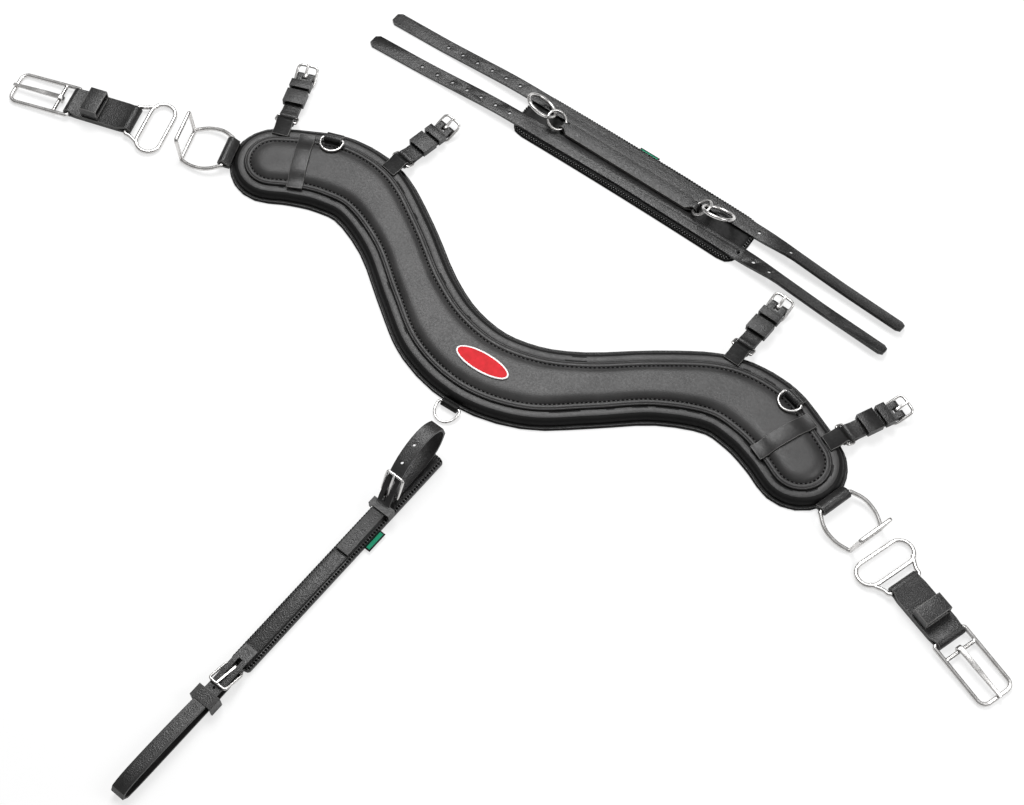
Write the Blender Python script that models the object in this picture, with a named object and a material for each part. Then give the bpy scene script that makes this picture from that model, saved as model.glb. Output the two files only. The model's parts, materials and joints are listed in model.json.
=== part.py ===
"""Driving harness laid out flat: a padded breast collar with four buckled tugs, a neck strap,
a false martingale and a pair of trace tugs. Metres, +Z up, origin under the collar's middle."""

import math

import bmesh
import bpy
from mathutils import Matrix, Vector, geometry

for leftover in list(bpy.data.objects):
    bpy.data.objects.remove(leftover)

MM = 0.001

# Fits and thicknesses that several pieces share
GAP = 0.3 * MM
WIRE_PLAY = 0.5 * MM
LAYER_GAP = 0.5 * MM
WIRE_SIDES = 8
THIN_WIRE_SIDES = 6

# Folds and bends
FOLD_NECK_SHARE = 2.2
FOLD_OPEN_DEG = 60
FOLD_STEPS = 9
MITRE_SHARE = 0.5
WELD_SHARE = 0.001
BAR_WIRE_SHARE = 0.92
ROUND_END_SHARE = 0.98

# Breast collar: centre line, width and layers
COLLAR_HALF_LENGTH = 354 * MM
COLLAR_RISE = 124 * MM
COLLAR_WIDTH = 108 * MM
COLLAR_LINE_SHARES = (
    (0, 0.045), (0.168, 0.142), (0.322, 0.40), (0.492, 0.755), (0.667, 1.007), (0.81, 1.02), (0.926, 0.90), (1, 0.791)
)
COLLAR_WIDTH_SHARES = (1, 0.97, 0.88, 0.865, 0.957, 1.02, 0.99, 0.98)
COLLAR_STEPS = 3
COLLAR_CAP_STEPS = 10
LINING_THICKNESS = 3.3 * MM
LINING_ROUND = 0.8 * MM
LIP_WIDTH = 4.5 * MM
ROLL_WIDTH = 14.5 * MM
ROLL_HEIGHT = 8.5 * MM
ROLL_SHARES = ((0, 0), (0, 0.15), (0.06, 0.5), (0.2, 0.8), (0.42, 0.96), (0.68, 1), (0.9, 0.95), (1, 0.9))
FACE_LEATHER = 2.6 * MM
FACE_ROUND = 0.8 * MM
STITCH_INSET = 6.2 * MM
STITCH_CHANNEL_WIDTH = 1.8 * MM
STITCH_CHANNEL_DEPTH = 0.8 * MM
FACE_CROWN = 4.6 * MM
CROWN_SHARES = ((0.8, 0.55), (0.6, 0.85), (0.45, 1))

# Oval badge on the face, left plain
BADGE_LENGTH = 68 * MM
BADGE_WIDTH = 24.5 * MM
BADGE_THICKNESS = 1.2 * MM
BADGE_ACROSS = 3.8 * MM
BADGE_UP = 6.2 * MM
BADGE_STEPS = 32

# Cross straps over the collar's ends
CROSS_STRAP_STATION_SHARE = 0.846
CROSS_STRAP_WIDTH = 19 * MM
CROSS_STRAP_THICKNESS = 2.4 * MM
CROSS_STRAP_SINK = 3.2 * MM

# Tugs: a leather tab, a wire loop, a folded strap with its keepers, and a buckle
TUG_OUTER_CAP_DEG = 67
TUG_INNER_STATION_SHARE = 0.587
TUG_HEADING_DEG = {
    "tug_outer_left": 108,
    "tug_inner_left": 78,
    "tug_inner_right": 85,
    "tug_outer_right": 62,
}
TUG_TAB_WIDTH = 20 * MM
TUG_TAB_THICKNESS = 2.4 * MM
TUG_BAR_OUT = 2.5 * MM
TUG_BAR_HEIGHT = 13.5 * MM
TUG_LOOP_WIDTH = 29 * MM
TUG_LOOP_DEPTH = 10 * MM
TUG_LOOP_DROP_DEG = 21
TUG_WIRE = 1.6 * MM
TUG_STRAP_WIDTH = 20 * MM
TUG_STRAP_THICKNESS = 2.5 * MM
TUG_STRAP_LENGTH = 64 * MM
TUG_KEEPER_WALL = 2.2 * MM
TUG_KEEPER_OPENING = 3.2 * MM
TUG_KEEPER_PLAY = 0.6 * MM
TUG_KEEPER_SHARES = ((0.42, 0.31), (0.73, 0.17))
TUG_TAB_SLOPE_SHARE = 0.25
TUG_LOOP_ROUND = 2.4 * MM
TUG_BUCKLE_WIDTH = 28 * MM
TUG_BUCKLE_REAR = 12.5 * MM
TUG_BUCKLE_FRONT = 14 * MM
TUG_BUCKLE_ROUND = 5 * MM
TUG_BUCKLE_CLEARANCE = 1.0 * MM
TONGUE_SLOT = 6 * MM
TONGUE_RISE_SHARE = 0.35
TONGUE_TIP_SHARE = 0.7
TUG_TONGUE_WIDTH = 3.6 * MM
TUG_TONGUE_THICKNESS = 1.8 * MM

# Dees on the collar
FACE_DEE_STATION_SHARE = 0.757
FACE_DEE_WIDTH = 30 * MM
FACE_DEE_DEPTH = 20 * MM
FACE_DEE_TAB_WIDTH = 21 * MM
FACE_DEE_BAR_INSET = 18.5 * MM
DEE_BAR_ROUND = 3 * MM
DEE_SHOULDER_SHARE = 0.2
CENTRE_DEE_WIDTH = 31 * MM
CENTRE_DEE_DEPTH = 22.5 * MM
CENTRE_TAB_WIDTH = 20 * MM
CENTRE_BAR_OUT = 3.2 * MM
CENTRE_TAB_THICKNESS = 2.4 * MM

# End tabs and trace dees with their upright hook frames
END_TAB_CAP_DEG = -20
END_TAB_HEADING_DEG = {"left": 196.5, "right": -19.5}
END_TAB_WIDTH = 37 * MM
END_TAB_LEATHER = 3.2 * MM
END_TAB_REACH = 4.3 * MM
TRACE_WIRE = 2.5 * MM
TRACE_DEE_WIDTH = 64 * MM
TRACE_DEE_DEPTH = 51.5 * MM
TRACE_DEE_OUTLINE_SHARES = ((0, 0.70), (0.32, 1), (0.70, 0.98), (1, 0.76))
TRACE_DEE_ROUNDS = (4 * MM, 14 * MM, 16 * MM, 3 * MM)
HOOK_FRAME_WIDTH = 47 * MM
HOOK_FRAME_HEIGHT = 36.5 * MM
HOOK_FRAME_LEAN = {"left": -4 * MM, "right": 2 * MM}
HOOK_FRAME_ROUND = 2 * MM
HOOK_FRAME_WIRE_SHARE = 0.94

# Trace tugs: slot loop, folded leather, box keeper and double-bar buckle
TRACE_TUG_BEYOND = {"left": 149 * MM, "right": 132 * MM}
TRACE_TUG_ACROSS = {"left": 61.5 * MM, "right": 48.5 * MM}
TRACE_TUG_HEADING_DEG = {"left": 194, "right": -21.5}
SLOT_LENGTH = 75 * MM
SLOT_WIDTH = 34 * MM
SLOT_WIRE = 2.5 * MM
SLOT_ARM_WIRE = 2.4 * MM
STRAP_BAR_OUT = 31 * MM
STRAP_BAR_WIDTH = 47 * MM
SLOT_ARM_SPREAD = 60 * MM
SLOT_ARM_ROUND = 4 * MM
SLOT_ARM_ROOT_SHARE = 0.8
TRACE_LEATHER_WIDTH = 38 * MM
TRACE_FOLD_WIDTH = 34.5 * MM
TRACE_LEATHER_THICKNESS = 3.4 * MM
TRACE_LEATHER_LENGTH = {"left": 76 * MM, "right": 70 * MM}
TRACE_KEEPER_BACK = 29 * MM
TRACE_KEEPER_WIDTH = 34 * MM
TRACE_KEEPER_LENGTH = 21 * MM
TRACE_KEEPER_WALL = 2.4 * MM
TRACE_KEEPER_SPACE = 9 * MM
TRACE_BUCKLE_WIDTH = 46 * MM
TRACE_BUCKLE_BAR_OUT = 18.5 * MM
TRACE_BUCKLE_LENGTH = 77.5 * MM
TRACE_BUCKLE_ROUND = 8 * MM
TRACE_BUCKLE_REAR_ROUND = 2.7 * MM
TRACE_TONGUE_WIDTH = 6 * MM
TRACE_TONGUE_TIP_WIDTH = 3.6 * MM
TRACE_TONGUE_THICKNESS = 2.6 * MM

# Neck strap: pad, two long straps, centre strip, chape rings and rein rings
NECK_BEYOND_TUGS = 125 * MM
NECK_HEADING_DEG = -3.5
NECK_HALF_LENGTH = 366 * MM
NECK_BOW = 9 * MM
NECK_STEPS = 28
NECK_STRAP_WIDTH = 18 * MM
NECK_STRAP_THICKNESS = 3.4 * MM
NECK_STRAP_SPREAD = 18.6 * MM
NECK_STRAP_SPLAY = 3 * MM
NECK_STRAP_TIP = 5 * MM
NECK_STRAP_TIP_SHARE = 0.6
NECK_STRAP_FALL = 140 * MM
NECK_STRAP_TILT_DEG = 26
NECK_STRAP_TILT_RUN = 60 * MM
NECK_HOLE_RADIUS = 2.3 * MM
NECK_HOLE_SIDES = 10
NECK_HOLE_SHARES = {
    "upper": (-0.778, -0.718, -0.658, -0.598, -0.541, -0.484, -0.428, 0.460, 0.580),
    "lower": (-0.798, -0.736, -0.675, -0.616, -0.560, -0.502, -0.445, 0.448, 0.506, 0.566),
}
NECK_PAD_LENGTH = 312 * MM
NECK_PAD_WIDTH = 59 * MM
NECK_PAD_HEIGHT = 7 * MM
NECK_PAD_ROLL = 4 * MM
NECK_PAD_SHARES = ((0.35, 0), (0, 0.25), (0, 0.6), (0.4, 0.88), (1, 1))
NECK_PAD_CORNER = 16 * MM
NECK_PAD_CORNER_SHARE = 0.6
NECK_PAD_STEPS = 10
NECK_PAD_PLACE = (5.5 * MM, -0.5 * MM)
NECK_STRIP_LENGTH = 188 * MM
NECK_STRIP_ACROSS = -4 * MM
NECK_STRIP_WIDTH = 18 * MM
NECK_STRIP_THICKNESS = 2.2 * MM
NECK_CHAPE_WIDTH = 8 * MM
CHAPE_RING_RADIUS = 12 * MM
CHAPE_RING_WIRE = 1.7 * MM
CHAPE_POCKET = 2.8 * MM
CHAPE_RING_SET = 0.35 * MM
CHAPE_RING_RISE_DEG = {"left": 27, "right": 37}
REIN_RING_RADIUS = 19 * MM
REIN_RING_WIRE = 2.1 * MM
REIN_RING_PLAY = 2.8 * MM
REIN_RING_RISE_DEG = {"left": 19, "right": 8}
REIN_RING_ROLL_DEG = {"left": 34, "right": -40}

# False martingale: pad, billet loop and girth loop, each with a buckle and keeper
MARTINGALE_ACROSS = 21.1 * MM
MARTINGALE_BELOW = 55.5 * MM
MARTINGALE_HEADING_DEG = -95.4
MARTINGALE_PAD_LENGTH = 312 * MM
MARTINGALE_PAD_WIDTH = 25 * MM
MARTINGALE_PAD_HEIGHT = 8 * MM
MARTINGALE_PAD_ROLL = 2.5 * MM
MARTINGALE_PAD_SHARES = ((0.4, 0), (0, 0.2), (0, 0.65), (0.4, 0.9), (1, 1))
MARTINGALE_PAD_CORNER = 4 * MM
MARTINGALE_PAD_CORNER_SHARE = 0.8
SEWN_STRAP_WIDTH = 16 * MM
SEWN_STRAP_START = 92 * MM
SEWN_STRAP_TAIL = 6 * MM
SEWN_STRAP_HEIGHT = 2.4 * MM
SEWN_STRAP_SINK = 1 * MM
LOOP_STRAP_WIDTH = 16 * MM
LOOP_STRAP_THICKNESS = 2.6 * MM
LOOP_STRAP_SLOT = 5 * MM
LOOP_HOLE_RADIUS = 1.8 * MM
LOOP_REACH = 100 * MM
LOOP_SLOT_SHARE = 0.75
LOOP_HOLE_LEVEL_SHARES = {"billet": 0.49, "girth": 0.17}
LOOP_KEEPER_WIDTH = 28 * MM
LOOP_KEEPER_THICKNESS = 2 * MM
LOOP_KEEPER_SINK = 0.4 * MM
LOOP_KEEPER_FOOT = 1 * MM
LOOP_BUCKLE_WIDTH = 25 * MM
LOOP_BUCKLE_ROUND = 3 * MM
LOOP_BUCKLE_WIRE = 1.6 * MM
LOOP_TONGUE_WIDTH = 3.2 * MM
LOOP_TONGUE_THICKNESS = 1.6 * MM
BILLET_PLACE = (72 * MM, 180)
BILLET_BAR_SHARES = (0.186, 0.030)
BILLET_BUCKLE_REACH = 28 * MM
BILLET_BUCKLE_PITCH_DEG = 63.6
BILLET_PATH_SHARES = (
    (0.140, 0.125, 0.030), (0.240, 0.135, 0.030), (0.460, 0.150, 0.032), (0.640, 0.175, 0.034),
    (0.780, 0.245, 0.045), (0.860, 0.350, 0.060), (0.845, 0.450, 0.070), (0.760, 0.510, 0.080),
    (0.620, 0.525, 0.085), (0.450, 0.500, 0.080), (0.285, 0.465, 0.065), (0.160, 0.415, 0.045),
    (0.075, 0.355, 0.035), (0, 0.280, 0.030), (-0.085, 0.200, 0.020), (-0.145, 0.160, 0),
    (-0.300, 0.132, 0), (-0.800, 0.126, 0),
)
BILLET_HOLE_SHARES = (0.496, 0.273)
BILLET_KEEPER_SHARES = (-0.16, 0.10, 0.157)
GIRTH_BEYOND_PAD = 4 * MM
GIRTH_BAR_SHARES = (0.084, 0)
GIRTH_BUCKLE_REACH = 27 * MM
GIRTH_BUCKLE_PITCH_DEG = 20
GIRTH_PATH_SHARES = (
    (0.14, 0.032, 0), (0.24, 0.017, 0), (0.60, 0.017, 0), (1.10, 0.017, 0), (1.50, 0.018, 0),
    (1.64, 0.035, 0), (1.69, 0.095, 0), (1.66, 0.160, 0), (1.56, 0.195, 0), (1.30, 0.205, 0),
    (0.90, 0.195, 0), (0.60, 0.170, 0), (0.40, 0.150, 0), (0.26, 0.143, 0), (0, 0.152, 0),
    (-0.08, 0.146, 0), (-0.26, 0.126, 0),
)
GIRTH_HOLE_SHARES = (0.30,)
GIRTH_KEEPER_SHARES = (0.43, 0.15, 0.153)


# Finishes

def finish(name, colour, roughness, metallic=0.0):
    """A plain Principled material."""
    material = bpy.data.materials.new(name)
    material.use_nodes = True
    shader = material.node_tree.nodes["Principled BSDF"]
    shader.inputs["Base Color"].default_value = (*colour, 1)
    shader.inputs["Roughness"].default_value = roughness
    shader.inputs["Metallic"].default_value = metallic
    return material


# Outlines and paths

def smooth_line(points, steps):
    """Points on a smooth curve through the given ones, with steps points to each span."""
    ends = [2 * points[0] - points[1], *points, 2 * points[-1] - points[-2]]
    line = [points[0]]
    for before, start, end, after in zip(ends, ends[1:], ends[2:], ends[3:]):
        first_handle = start + (end - before) / 6
        last_handle = end - (after - start) / 6
        line.extend(geometry.interpolate_bezier(start, first_handle, last_handle, end, steps + 1)[1:])
    return line


def arc(centre, radius, start_deg, end_deg, steps):
    """Points on an arc in a plane, both ends included."""
    turns = [math.radians(start_deg + (end_deg - start_deg) * step / steps) for step in range(steps + 1)]
    return [(centre[0] + radius * math.cos(turn), centre[1] + radius * math.sin(turn)) for turn in turns]


def rounded(corners, rounds, steps=4, closed=True):
    """Outline with each corner replaced by an arc of its own radius."""
    points = []
    last = len(corners) - 1
    for index, corner in enumerate(corners):
        corner = Vector(corner)
        if not closed and index in (0, last):
            points.append(tuple(corner))
            continue
        before = (Vector(corners[index - 1]) - corner).normalized()
        after = (Vector(corners[(index + 1) % len(corners)]) - corner).normalized()
        half_angle = before.angle(after) / 2
        middle = (before + after).normalized()
        centre = corner + middle * rounds[index] / math.sin(half_angle)
        start = corner + before * rounds[index] / math.tan(half_angle) - centre
        sweep = math.pi - 2 * half_angle
        if before.cross(after) > 0:
            sweep = -sweep
        for step in range(steps + 1):
            turned = Matrix.Rotation(sweep * step / steps, 2) @ start
            points.append(tuple(centre + turned))
    return points


def oval(length, width, steps):
    """An ellipse as a list of points."""
    turns = [math.tau * step / steps for step in range(steps)]
    return [(length / 2 * math.cos(turn), width / 2 * math.sin(turn)) for turn in turns]


def folded_path(length, first_radius, last_radius, half_gap):
    """Closed side view of a strap folded round a bar at each end, its two layers half_gap from its middle."""
    first_leg = first_radius * FOLD_NECK_SHARE
    last_leg = length - last_radius * FOLD_NECK_SHARE
    path = arc((0, 0), first_radius, FOLD_OPEN_DEG, 360 - FOLD_OPEN_DEG, FOLD_STEPS)
    path.append((first_leg, -half_gap))
    path.append((last_leg, -half_gap))
    path.extend(arc((length, 0), last_radius, FOLD_OPEN_DEG - 180, 180 - FOLD_OPEN_DEG, FOLD_STEPS))
    path.append((last_leg, half_gap))
    path.append((first_leg, half_gap))
    return path


def band_outline(stations, inset=0, squeeze=1, cap_steps=6, cap_depth=None, cap_power=1):
    """Outline of a band from (centre, side, half width) stations, drawn in by inset, with capped ends."""
    reaches = [(half - inset) * squeeze for _, _, half in stations]
    upper = [centre + side * reach for (centre, side, _), reach in zip(stations, reaches)]
    lower = [centre - side * reach for (centre, side, _), reach in zip(stations, reaches)]
    caps = []
    for index, turn in ((-1, 1), (0, -1)):
        centre, side, _ = stations[index]
        reach = reaches[index]
        depth = reach if cap_depth is None else cap_depth - inset
        out = Vector((side.y, -side.x)) * turn
        cap = []
        for step in range(1, cap_steps):
            angle = math.pi * (0.5 - step / cap_steps)
            rise = math.copysign(abs(math.sin(angle)) ** cap_power, angle)
            cap.append(centre + side * turn * reach * rise + out * depth * math.cos(angle) ** cap_power)
        caps.append(cap)
    return [tuple(point) for point in upper + caps[0] + lower[::-1] + caps[1]]


# Solids

def frame_at(place, height, heading_deg):
    """A level frame whose X points along the heading and Y to its left."""
    turned = Matrix.Rotation(math.radians(heading_deg), 4, "Z")
    return Matrix.Translation((place[0], place[1], height)) @ turned


def add_object(name, bm, material, frame=None, parent=None, smooth_deg=40):
    """A finished object: its mesh in its own frame, with the frame as its place."""
    bmesh.ops.recalc_face_normals(bm, faces=bm.faces)
    mesh = bpy.data.meshes.new(name)
    bm.to_mesh(mesh)
    bm.free()
    mesh.shade_smooth()
    mesh.set_sharp_from_angle(angle=math.radians(smooth_deg))
    mesh.materials.append(material)
    piece = bpy.data.objects.new(name, mesh)
    bpy.context.scene.collection.objects.link(piece)
    if frame:
        piece.matrix_world = frame
    if parent:
        piece.parent = parent
        piece.matrix_parent_inverse = parent.matrix_world.inverted()
    return piece


def stack(outlines):
    """Solid through closed outlines of equal count, each a list of points, from the lowest to the highest."""
    bm = bmesh.new()
    rings = [[bm.verts.new(point) for point in outline] for outline in outlines]
    bm.faces.new(rings[0])
    bm.faces.new(rings[-1])
    for one, other in zip(rings, rings[1:]):
        for corner in range(len(one)):
            bm.faces.new((one[corner - 1], one[corner], other[corner], other[corner - 1]))
    return bm


def raised(outline, height):
    """A flat outline at a height."""
    return [Vector((x, y, height)) for x, y in outline]


def plate(outline, thickness, height=0):
    """A flat outline extruded upwards."""
    return stack([raised(outline, height), raised(outline, height + thickness)])


def ribbon(path, widths, thickness, closed=False):
    """Strap whose middle follows (x, z) or (x, z, y) points, as wide along Y as widths says."""
    count = len(path)
    points = [Vector(point[:2]) for point in path]
    drifts = [point[2] if len(point) > 2 else 0 for point in path]
    if not isinstance(widths, (list, tuple)):
        widths = [widths] * count
    bm = bmesh.new()
    rings = []
    for index, point in enumerate(points):
        before = points[index - 1] if closed or index else point
        after = points[(index + 1) % count] if closed or index < count - 1 else point
        into = (point - before if point != before else after - point).normalized()
        out = (after - point if point != after else point - before).normalized()
        run = (into + out).normalized()
        normal = Vector((-run.y, run.x)) * thickness / 2 / max(run.dot(into), MITRE_SHARE)
        ring = []
        for across, lift in ((-0.5, -1), (-0.5, 1), (0.5, 1), (0.5, -1)):
            spot = point + normal * lift
            ring.append(bm.verts.new((spot.x, drifts[index] + across * widths[index], spot.y)))
        rings.append(ring)
    pairs = list(zip(rings, rings[1:]))
    if closed:
        pairs.append((rings[-1], rings[0]))
    else:
        bm.faces.new(rings[0])
        bm.faces.new(rings[-1])
    for one, other in pairs:
        for corner in range(4):
            following = (corner + 1) % 4
            bm.faces.new((one[corner], one[following], other[following], other[corner]))
    return bm


def wire(points, radius, closed=True, sides=WIRE_SIDES):
    """Round wire along points, as a bmesh."""
    curve = bpy.data.curves.new("wire", "CURVE")
    curve.dimensions = "3D"
    curve.bevel_depth = radius
    curve.bevel_resolution = sides // 2 - 2
    curve.use_fill_caps = not closed
    spline = curve.splines.new("POLY")
    spline.points.add(len(points) - 1)
    for knot, point in zip(spline.points, points):
        knot.co = (*point, 1)
    spline.use_cyclic_u = closed
    guide = bpy.data.objects.new("wire", curve)
    bm = bmesh.new()
    bm.from_mesh(guide.to_mesh())
    guide.to_mesh_clear()
    bpy.data.objects.remove(guide)
    bpy.data.curves.remove(curve)
    bmesh.ops.remove_doubles(bm, verts=bm.verts, dist=radius * WELD_SHARE)
    return bm


def flat(outline, height=0):
    """Outline points as places in the frame's own XY plane."""
    return [(x, y, height) for x, y in outline]


def helper(name, bm, frame, material):
    """A hidden solid that a Boolean joins or cuts."""
    piece = add_object(name, bm, material, frame)
    piece.hide_render = True
    piece.display_type = "WIRE"
    return piece


def combine(piece, other, operation):
    """A Boolean of one hidden solid on a piece."""
    modifier = piece.modifiers.new(other.name, "BOOLEAN")
    modifier.operation = operation
    modifier.object = other


# Breast collar

def collar_stations():
    """Centre, upward side direction and half width at each station, from the left end to the right."""
    half = [
        Vector((x * COLLAR_HALF_LENGTH, y * COLLAR_RISE, width * COLLAR_WIDTH / 2))
        for (x, y), width in zip(COLLAR_LINE_SHARES, COLLAR_WIDTH_SHARES)
    ]
    mirrored = [Vector((-point.x, point.y, point.z)) for point in reversed(half[1:])]
    line = smooth_line(mirrored + half, COLLAR_STEPS)
    stations = []
    for index, point in enumerate(line):
        before = line[max(index - 1, 0)]
        after = line[min(index + 1, len(line) - 1)]
        run = (after - before).to_2d().normalized()
        stations.append((point.to_2d(), Vector((-run.y, run.x)), point.z))
    return stations


def collar_outline(inset, squeeze=1):
    """The collar's outline drawn in by inset, then squeezed towards the centre line."""
    return band_outline(collar_stations(), inset, squeeze, COLLAR_CAP_STEPS)


def collar_station(share):
    """Centre, side and half width at a share of the way from the collar's middle to its right end."""
    stations = collar_stations()
    right_half = stations[len(stations) // 2:]
    spot = abs(share) * (len(right_half) - 1)
    index = min(int(spot), len(right_half) - 2)
    part = spot - index
    mixed = [one * (1 - part) + other * part for one, other in zip(right_half[index], right_half[index + 1])]
    centre, side, half = mixed
    if share < 0:
        centre = Vector((-centre.x, centre.y))
        side = Vector((-side.x, side.y))
    return centre, side.normalized(), half


def heading_of(direction):
    """Heading in degrees of a flat direction."""
    return math.degrees(math.atan2(direction.y, direction.x))


ROLL_BASE = LINING_THICKNESS + GAP
ROLL_TOP = ROLL_BASE + ROLL_HEIGHT
PADDING_TOP = ROLL_BASE + ROLL_HEIGHT * ROLL_SHARES[-1][1]
FACE_BASE = PADDING_TOP + GAP
FACE_EDGE_TOP = FACE_BASE + FACE_LEATHER
FACE_INSET = LIP_WIDTH + ROLL_WIDTH
FACE_TOP = FACE_EDGE_TOP + FACE_CROWN
CROWN_INSET = FACE_INSET + STITCH_INSET + STITCH_CHANNEL_WIDTH


def collar_lining(leather):
    """Bottom leather layer, whose lip shows all round."""
    levels = ((0, 0), (0, LINING_THICKNESS - LINING_ROUND), (LINING_ROUND, LINING_THICKNESS))
    bm = stack([raised(collar_outline(inset), height) for inset, height in levels])
    return add_object("collar_lining", bm, leather)


def collar_padding(leather):
    """Padded body with its rolled rim."""
    levels = [(LIP_WIDTH + across * ROLL_WIDTH, ROLL_BASE + up * ROLL_HEIGHT) for across, up in ROLL_SHARES]
    bm = stack([raised(collar_outline(inset), height) for inset, height in levels])
    return add_object("collar_padding", bm, leather)


def face_levels():
    """Inset, squeeze and height of each line round the raised face."""
    channel = FACE_INSET + STITCH_INSET
    levels = [
        (FACE_INSET, 1, FACE_BASE),
        (FACE_INSET, 1, FACE_EDGE_TOP - FACE_ROUND),
        (FACE_INSET + FACE_ROUND, 1, FACE_EDGE_TOP),
        (channel - STITCH_CHANNEL_WIDTH, 1, FACE_EDGE_TOP),
        (channel, 1, FACE_EDGE_TOP - STITCH_CHANNEL_DEPTH),
        (CROWN_INSET, 1, FACE_EDGE_TOP),
    ]
    levels.extend((CROWN_INSET, squeeze, FACE_EDGE_TOP + FACE_CROWN * up) for squeeze, up in CROWN_SHARES)
    return levels


def collar_face(leather):
    """Raised front panel with its stitch channel and crown."""
    bm = stack([raised(collar_outline(inset, squeeze), height) for inset, squeeze, height in face_levels()])
    return add_object("collar_face", bm, leather)


def badge(enamel):
    """Plain oval badge on the face."""
    bm = plate(oval(BADGE_LENGTH, BADGE_WIDTH, BADGE_STEPS), BADGE_THICKNESS)
    return add_object("badge", bm, enamel, frame_at((BADGE_ACROSS, BADGE_UP), FACE_TOP + GAP, 0))


def cross_strap(name, side, leather):
    """Strap over the face near the collar's end, tucked into the groove at each edge."""
    centre, normal, half = collar_station(side * CROSS_STRAP_STATION_SHARE)
    middle = 2 * GAP + CROSS_STRAP_THICKNESS / 2
    reach = half - CROWN_INSET
    crown = [(reach * squeeze, FACE_EDGE_TOP + FACE_CROWN * up + middle) for squeeze, up in CROWN_SHARES]
    crown.insert(0, (reach, FACE_EDGE_TOP + middle))
    edge = half - FACE_INSET
    shoulder = (edge + middle / 2, FACE_EDGE_TOP + middle)
    foot = (edge + 2 * middle, PADDING_TOP + middle + CROSS_STRAP_SINK)
    upper = [foot, shoulder, *crown]
    path = upper + [(-across, height) for across, height in reversed(upper)]
    bm = ribbon(path, CROSS_STRAP_WIDTH, CROSS_STRAP_THICKNESS)
    return add_object(name, bm, leather, frame_at(centre, 0, heading_of(normal)))


def edge_frame(point, normal, heading_deg, tab_width):
    """Floor frame at the collar's edge, moved out so that a tab that leaves at a slant clears the rim."""
    slant = math.radians(heading_deg) - math.atan2(normal.y, normal.x)
    push = tab_width / 2 * abs(math.tan(slant))
    out = Vector((math.cos(math.radians(heading_deg)), math.sin(math.radians(heading_deg))))
    return frame_at(point + out * push, 0, heading_deg)


def cap_edge(side, angle_deg):
    """Point and outward direction on the round end of the collar."""
    centre, _, half = collar_station(side)
    out = Vector((side * math.cos(math.radians(angle_deg)), math.sin(math.radians(angle_deg))))
    return centre + out * half, out


def upper_edge(share):
    """Point and outward direction on the collar's upper edge."""
    centre, normal, half = collar_station(share)
    return centre + normal * half, normal


def shifted(frame, x=0, z=0, pitch_deg=0):
    """A frame moved along its own X and Z, then pitched up."""
    return frame @ Matrix.Translation((x, 0, z)) @ Matrix.Rotation(math.radians(-pitch_deg), 4, "Y")


# Tugs

def tug_tab(name, frame, leather):
    """Leather tab from the face's edge, over the rim and round the loop's bar."""
    turn = TUG_WIRE + WIRE_PLAY + TUG_TAB_THICKNESS / 2
    rest = ROLL_TOP + GAP + TUG_TAB_THICKNESS / 2
    path = [
        (-FACE_INSET + TUG_TAB_THICKNESS / 2, rest),
        (-LIP_WIDTH - ROLL_WIDTH / 2, rest),
        (-LIP_WIDTH - ROLL_WIDTH * TUG_TAB_SLOPE_SHARE, rest - GAP),
    ]
    path.extend(arc((TUG_BAR_OUT, TUG_BAR_HEIGHT), turn, 110, -150, FOLD_STEPS))
    bm = ribbon(path, TUG_TAB_WIDTH, TUG_TAB_THICKNESS)
    return add_object(name, bm, leather, frame)


def tug_loop(name, frame, metal):
    """Flat rectangular wire loop, hinged on its inner bar."""
    half = TUG_LOOP_WIDTH / 2 - TUG_WIRE
    corners = [(0, -half), (TUG_LOOP_DEPTH, -half), (TUG_LOOP_DEPTH, half), (0, half)]
    bm = wire(flat(rounded(corners, [TUG_LOOP_ROUND] * 4, 3)), TUG_WIRE, sides=THIN_WIRE_SIDES)
    return add_object(name, bm, metal, frame)


def keeper_ring(width, low, high, wall, length):
    """Rectangular leather band along X, whose opening is width wide and runs from low to high."""
    inner = [(-width / 2, low), (width / 2, low), (width / 2, high), (-width / 2, high)]
    outer = [
        (-width / 2 - wall, low - wall), (width / 2 + wall, low - wall),
        (width / 2 + wall, high + wall), (-width / 2 - wall, high + wall),
    ]
    bm = bmesh.new()
    rings = []
    for along in (-length / 2, length / 2):
        rings.append([[bm.verts.new((along, y, z)) for y, z in loop] for loop in (inner, outer)])
    (near_inner, near_outer), (far_inner, far_outer) = rings
    for corner in range(4):
        following = (corner + 1) % 4
        for one, other in (
            (near_inner, near_outer), (near_outer, far_outer), (far_outer, far_inner), (far_inner, near_inner)
        ):
            bm.faces.new((one[corner], one[following], other[following], other[corner]))
    return bm


def box(low, high):
    """A rectangular block between two corners."""
    bm = bmesh.new()
    size = Vector(high) - Vector(low)
    bmesh.ops.create_cube(bm, size=1)
    bmesh.ops.scale(bm, vec=size, verts=bm.verts)
    bmesh.ops.translate(bm, vec=(Vector(high) + Vector(low)) / 2, verts=bm.verts)
    return bm


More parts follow.
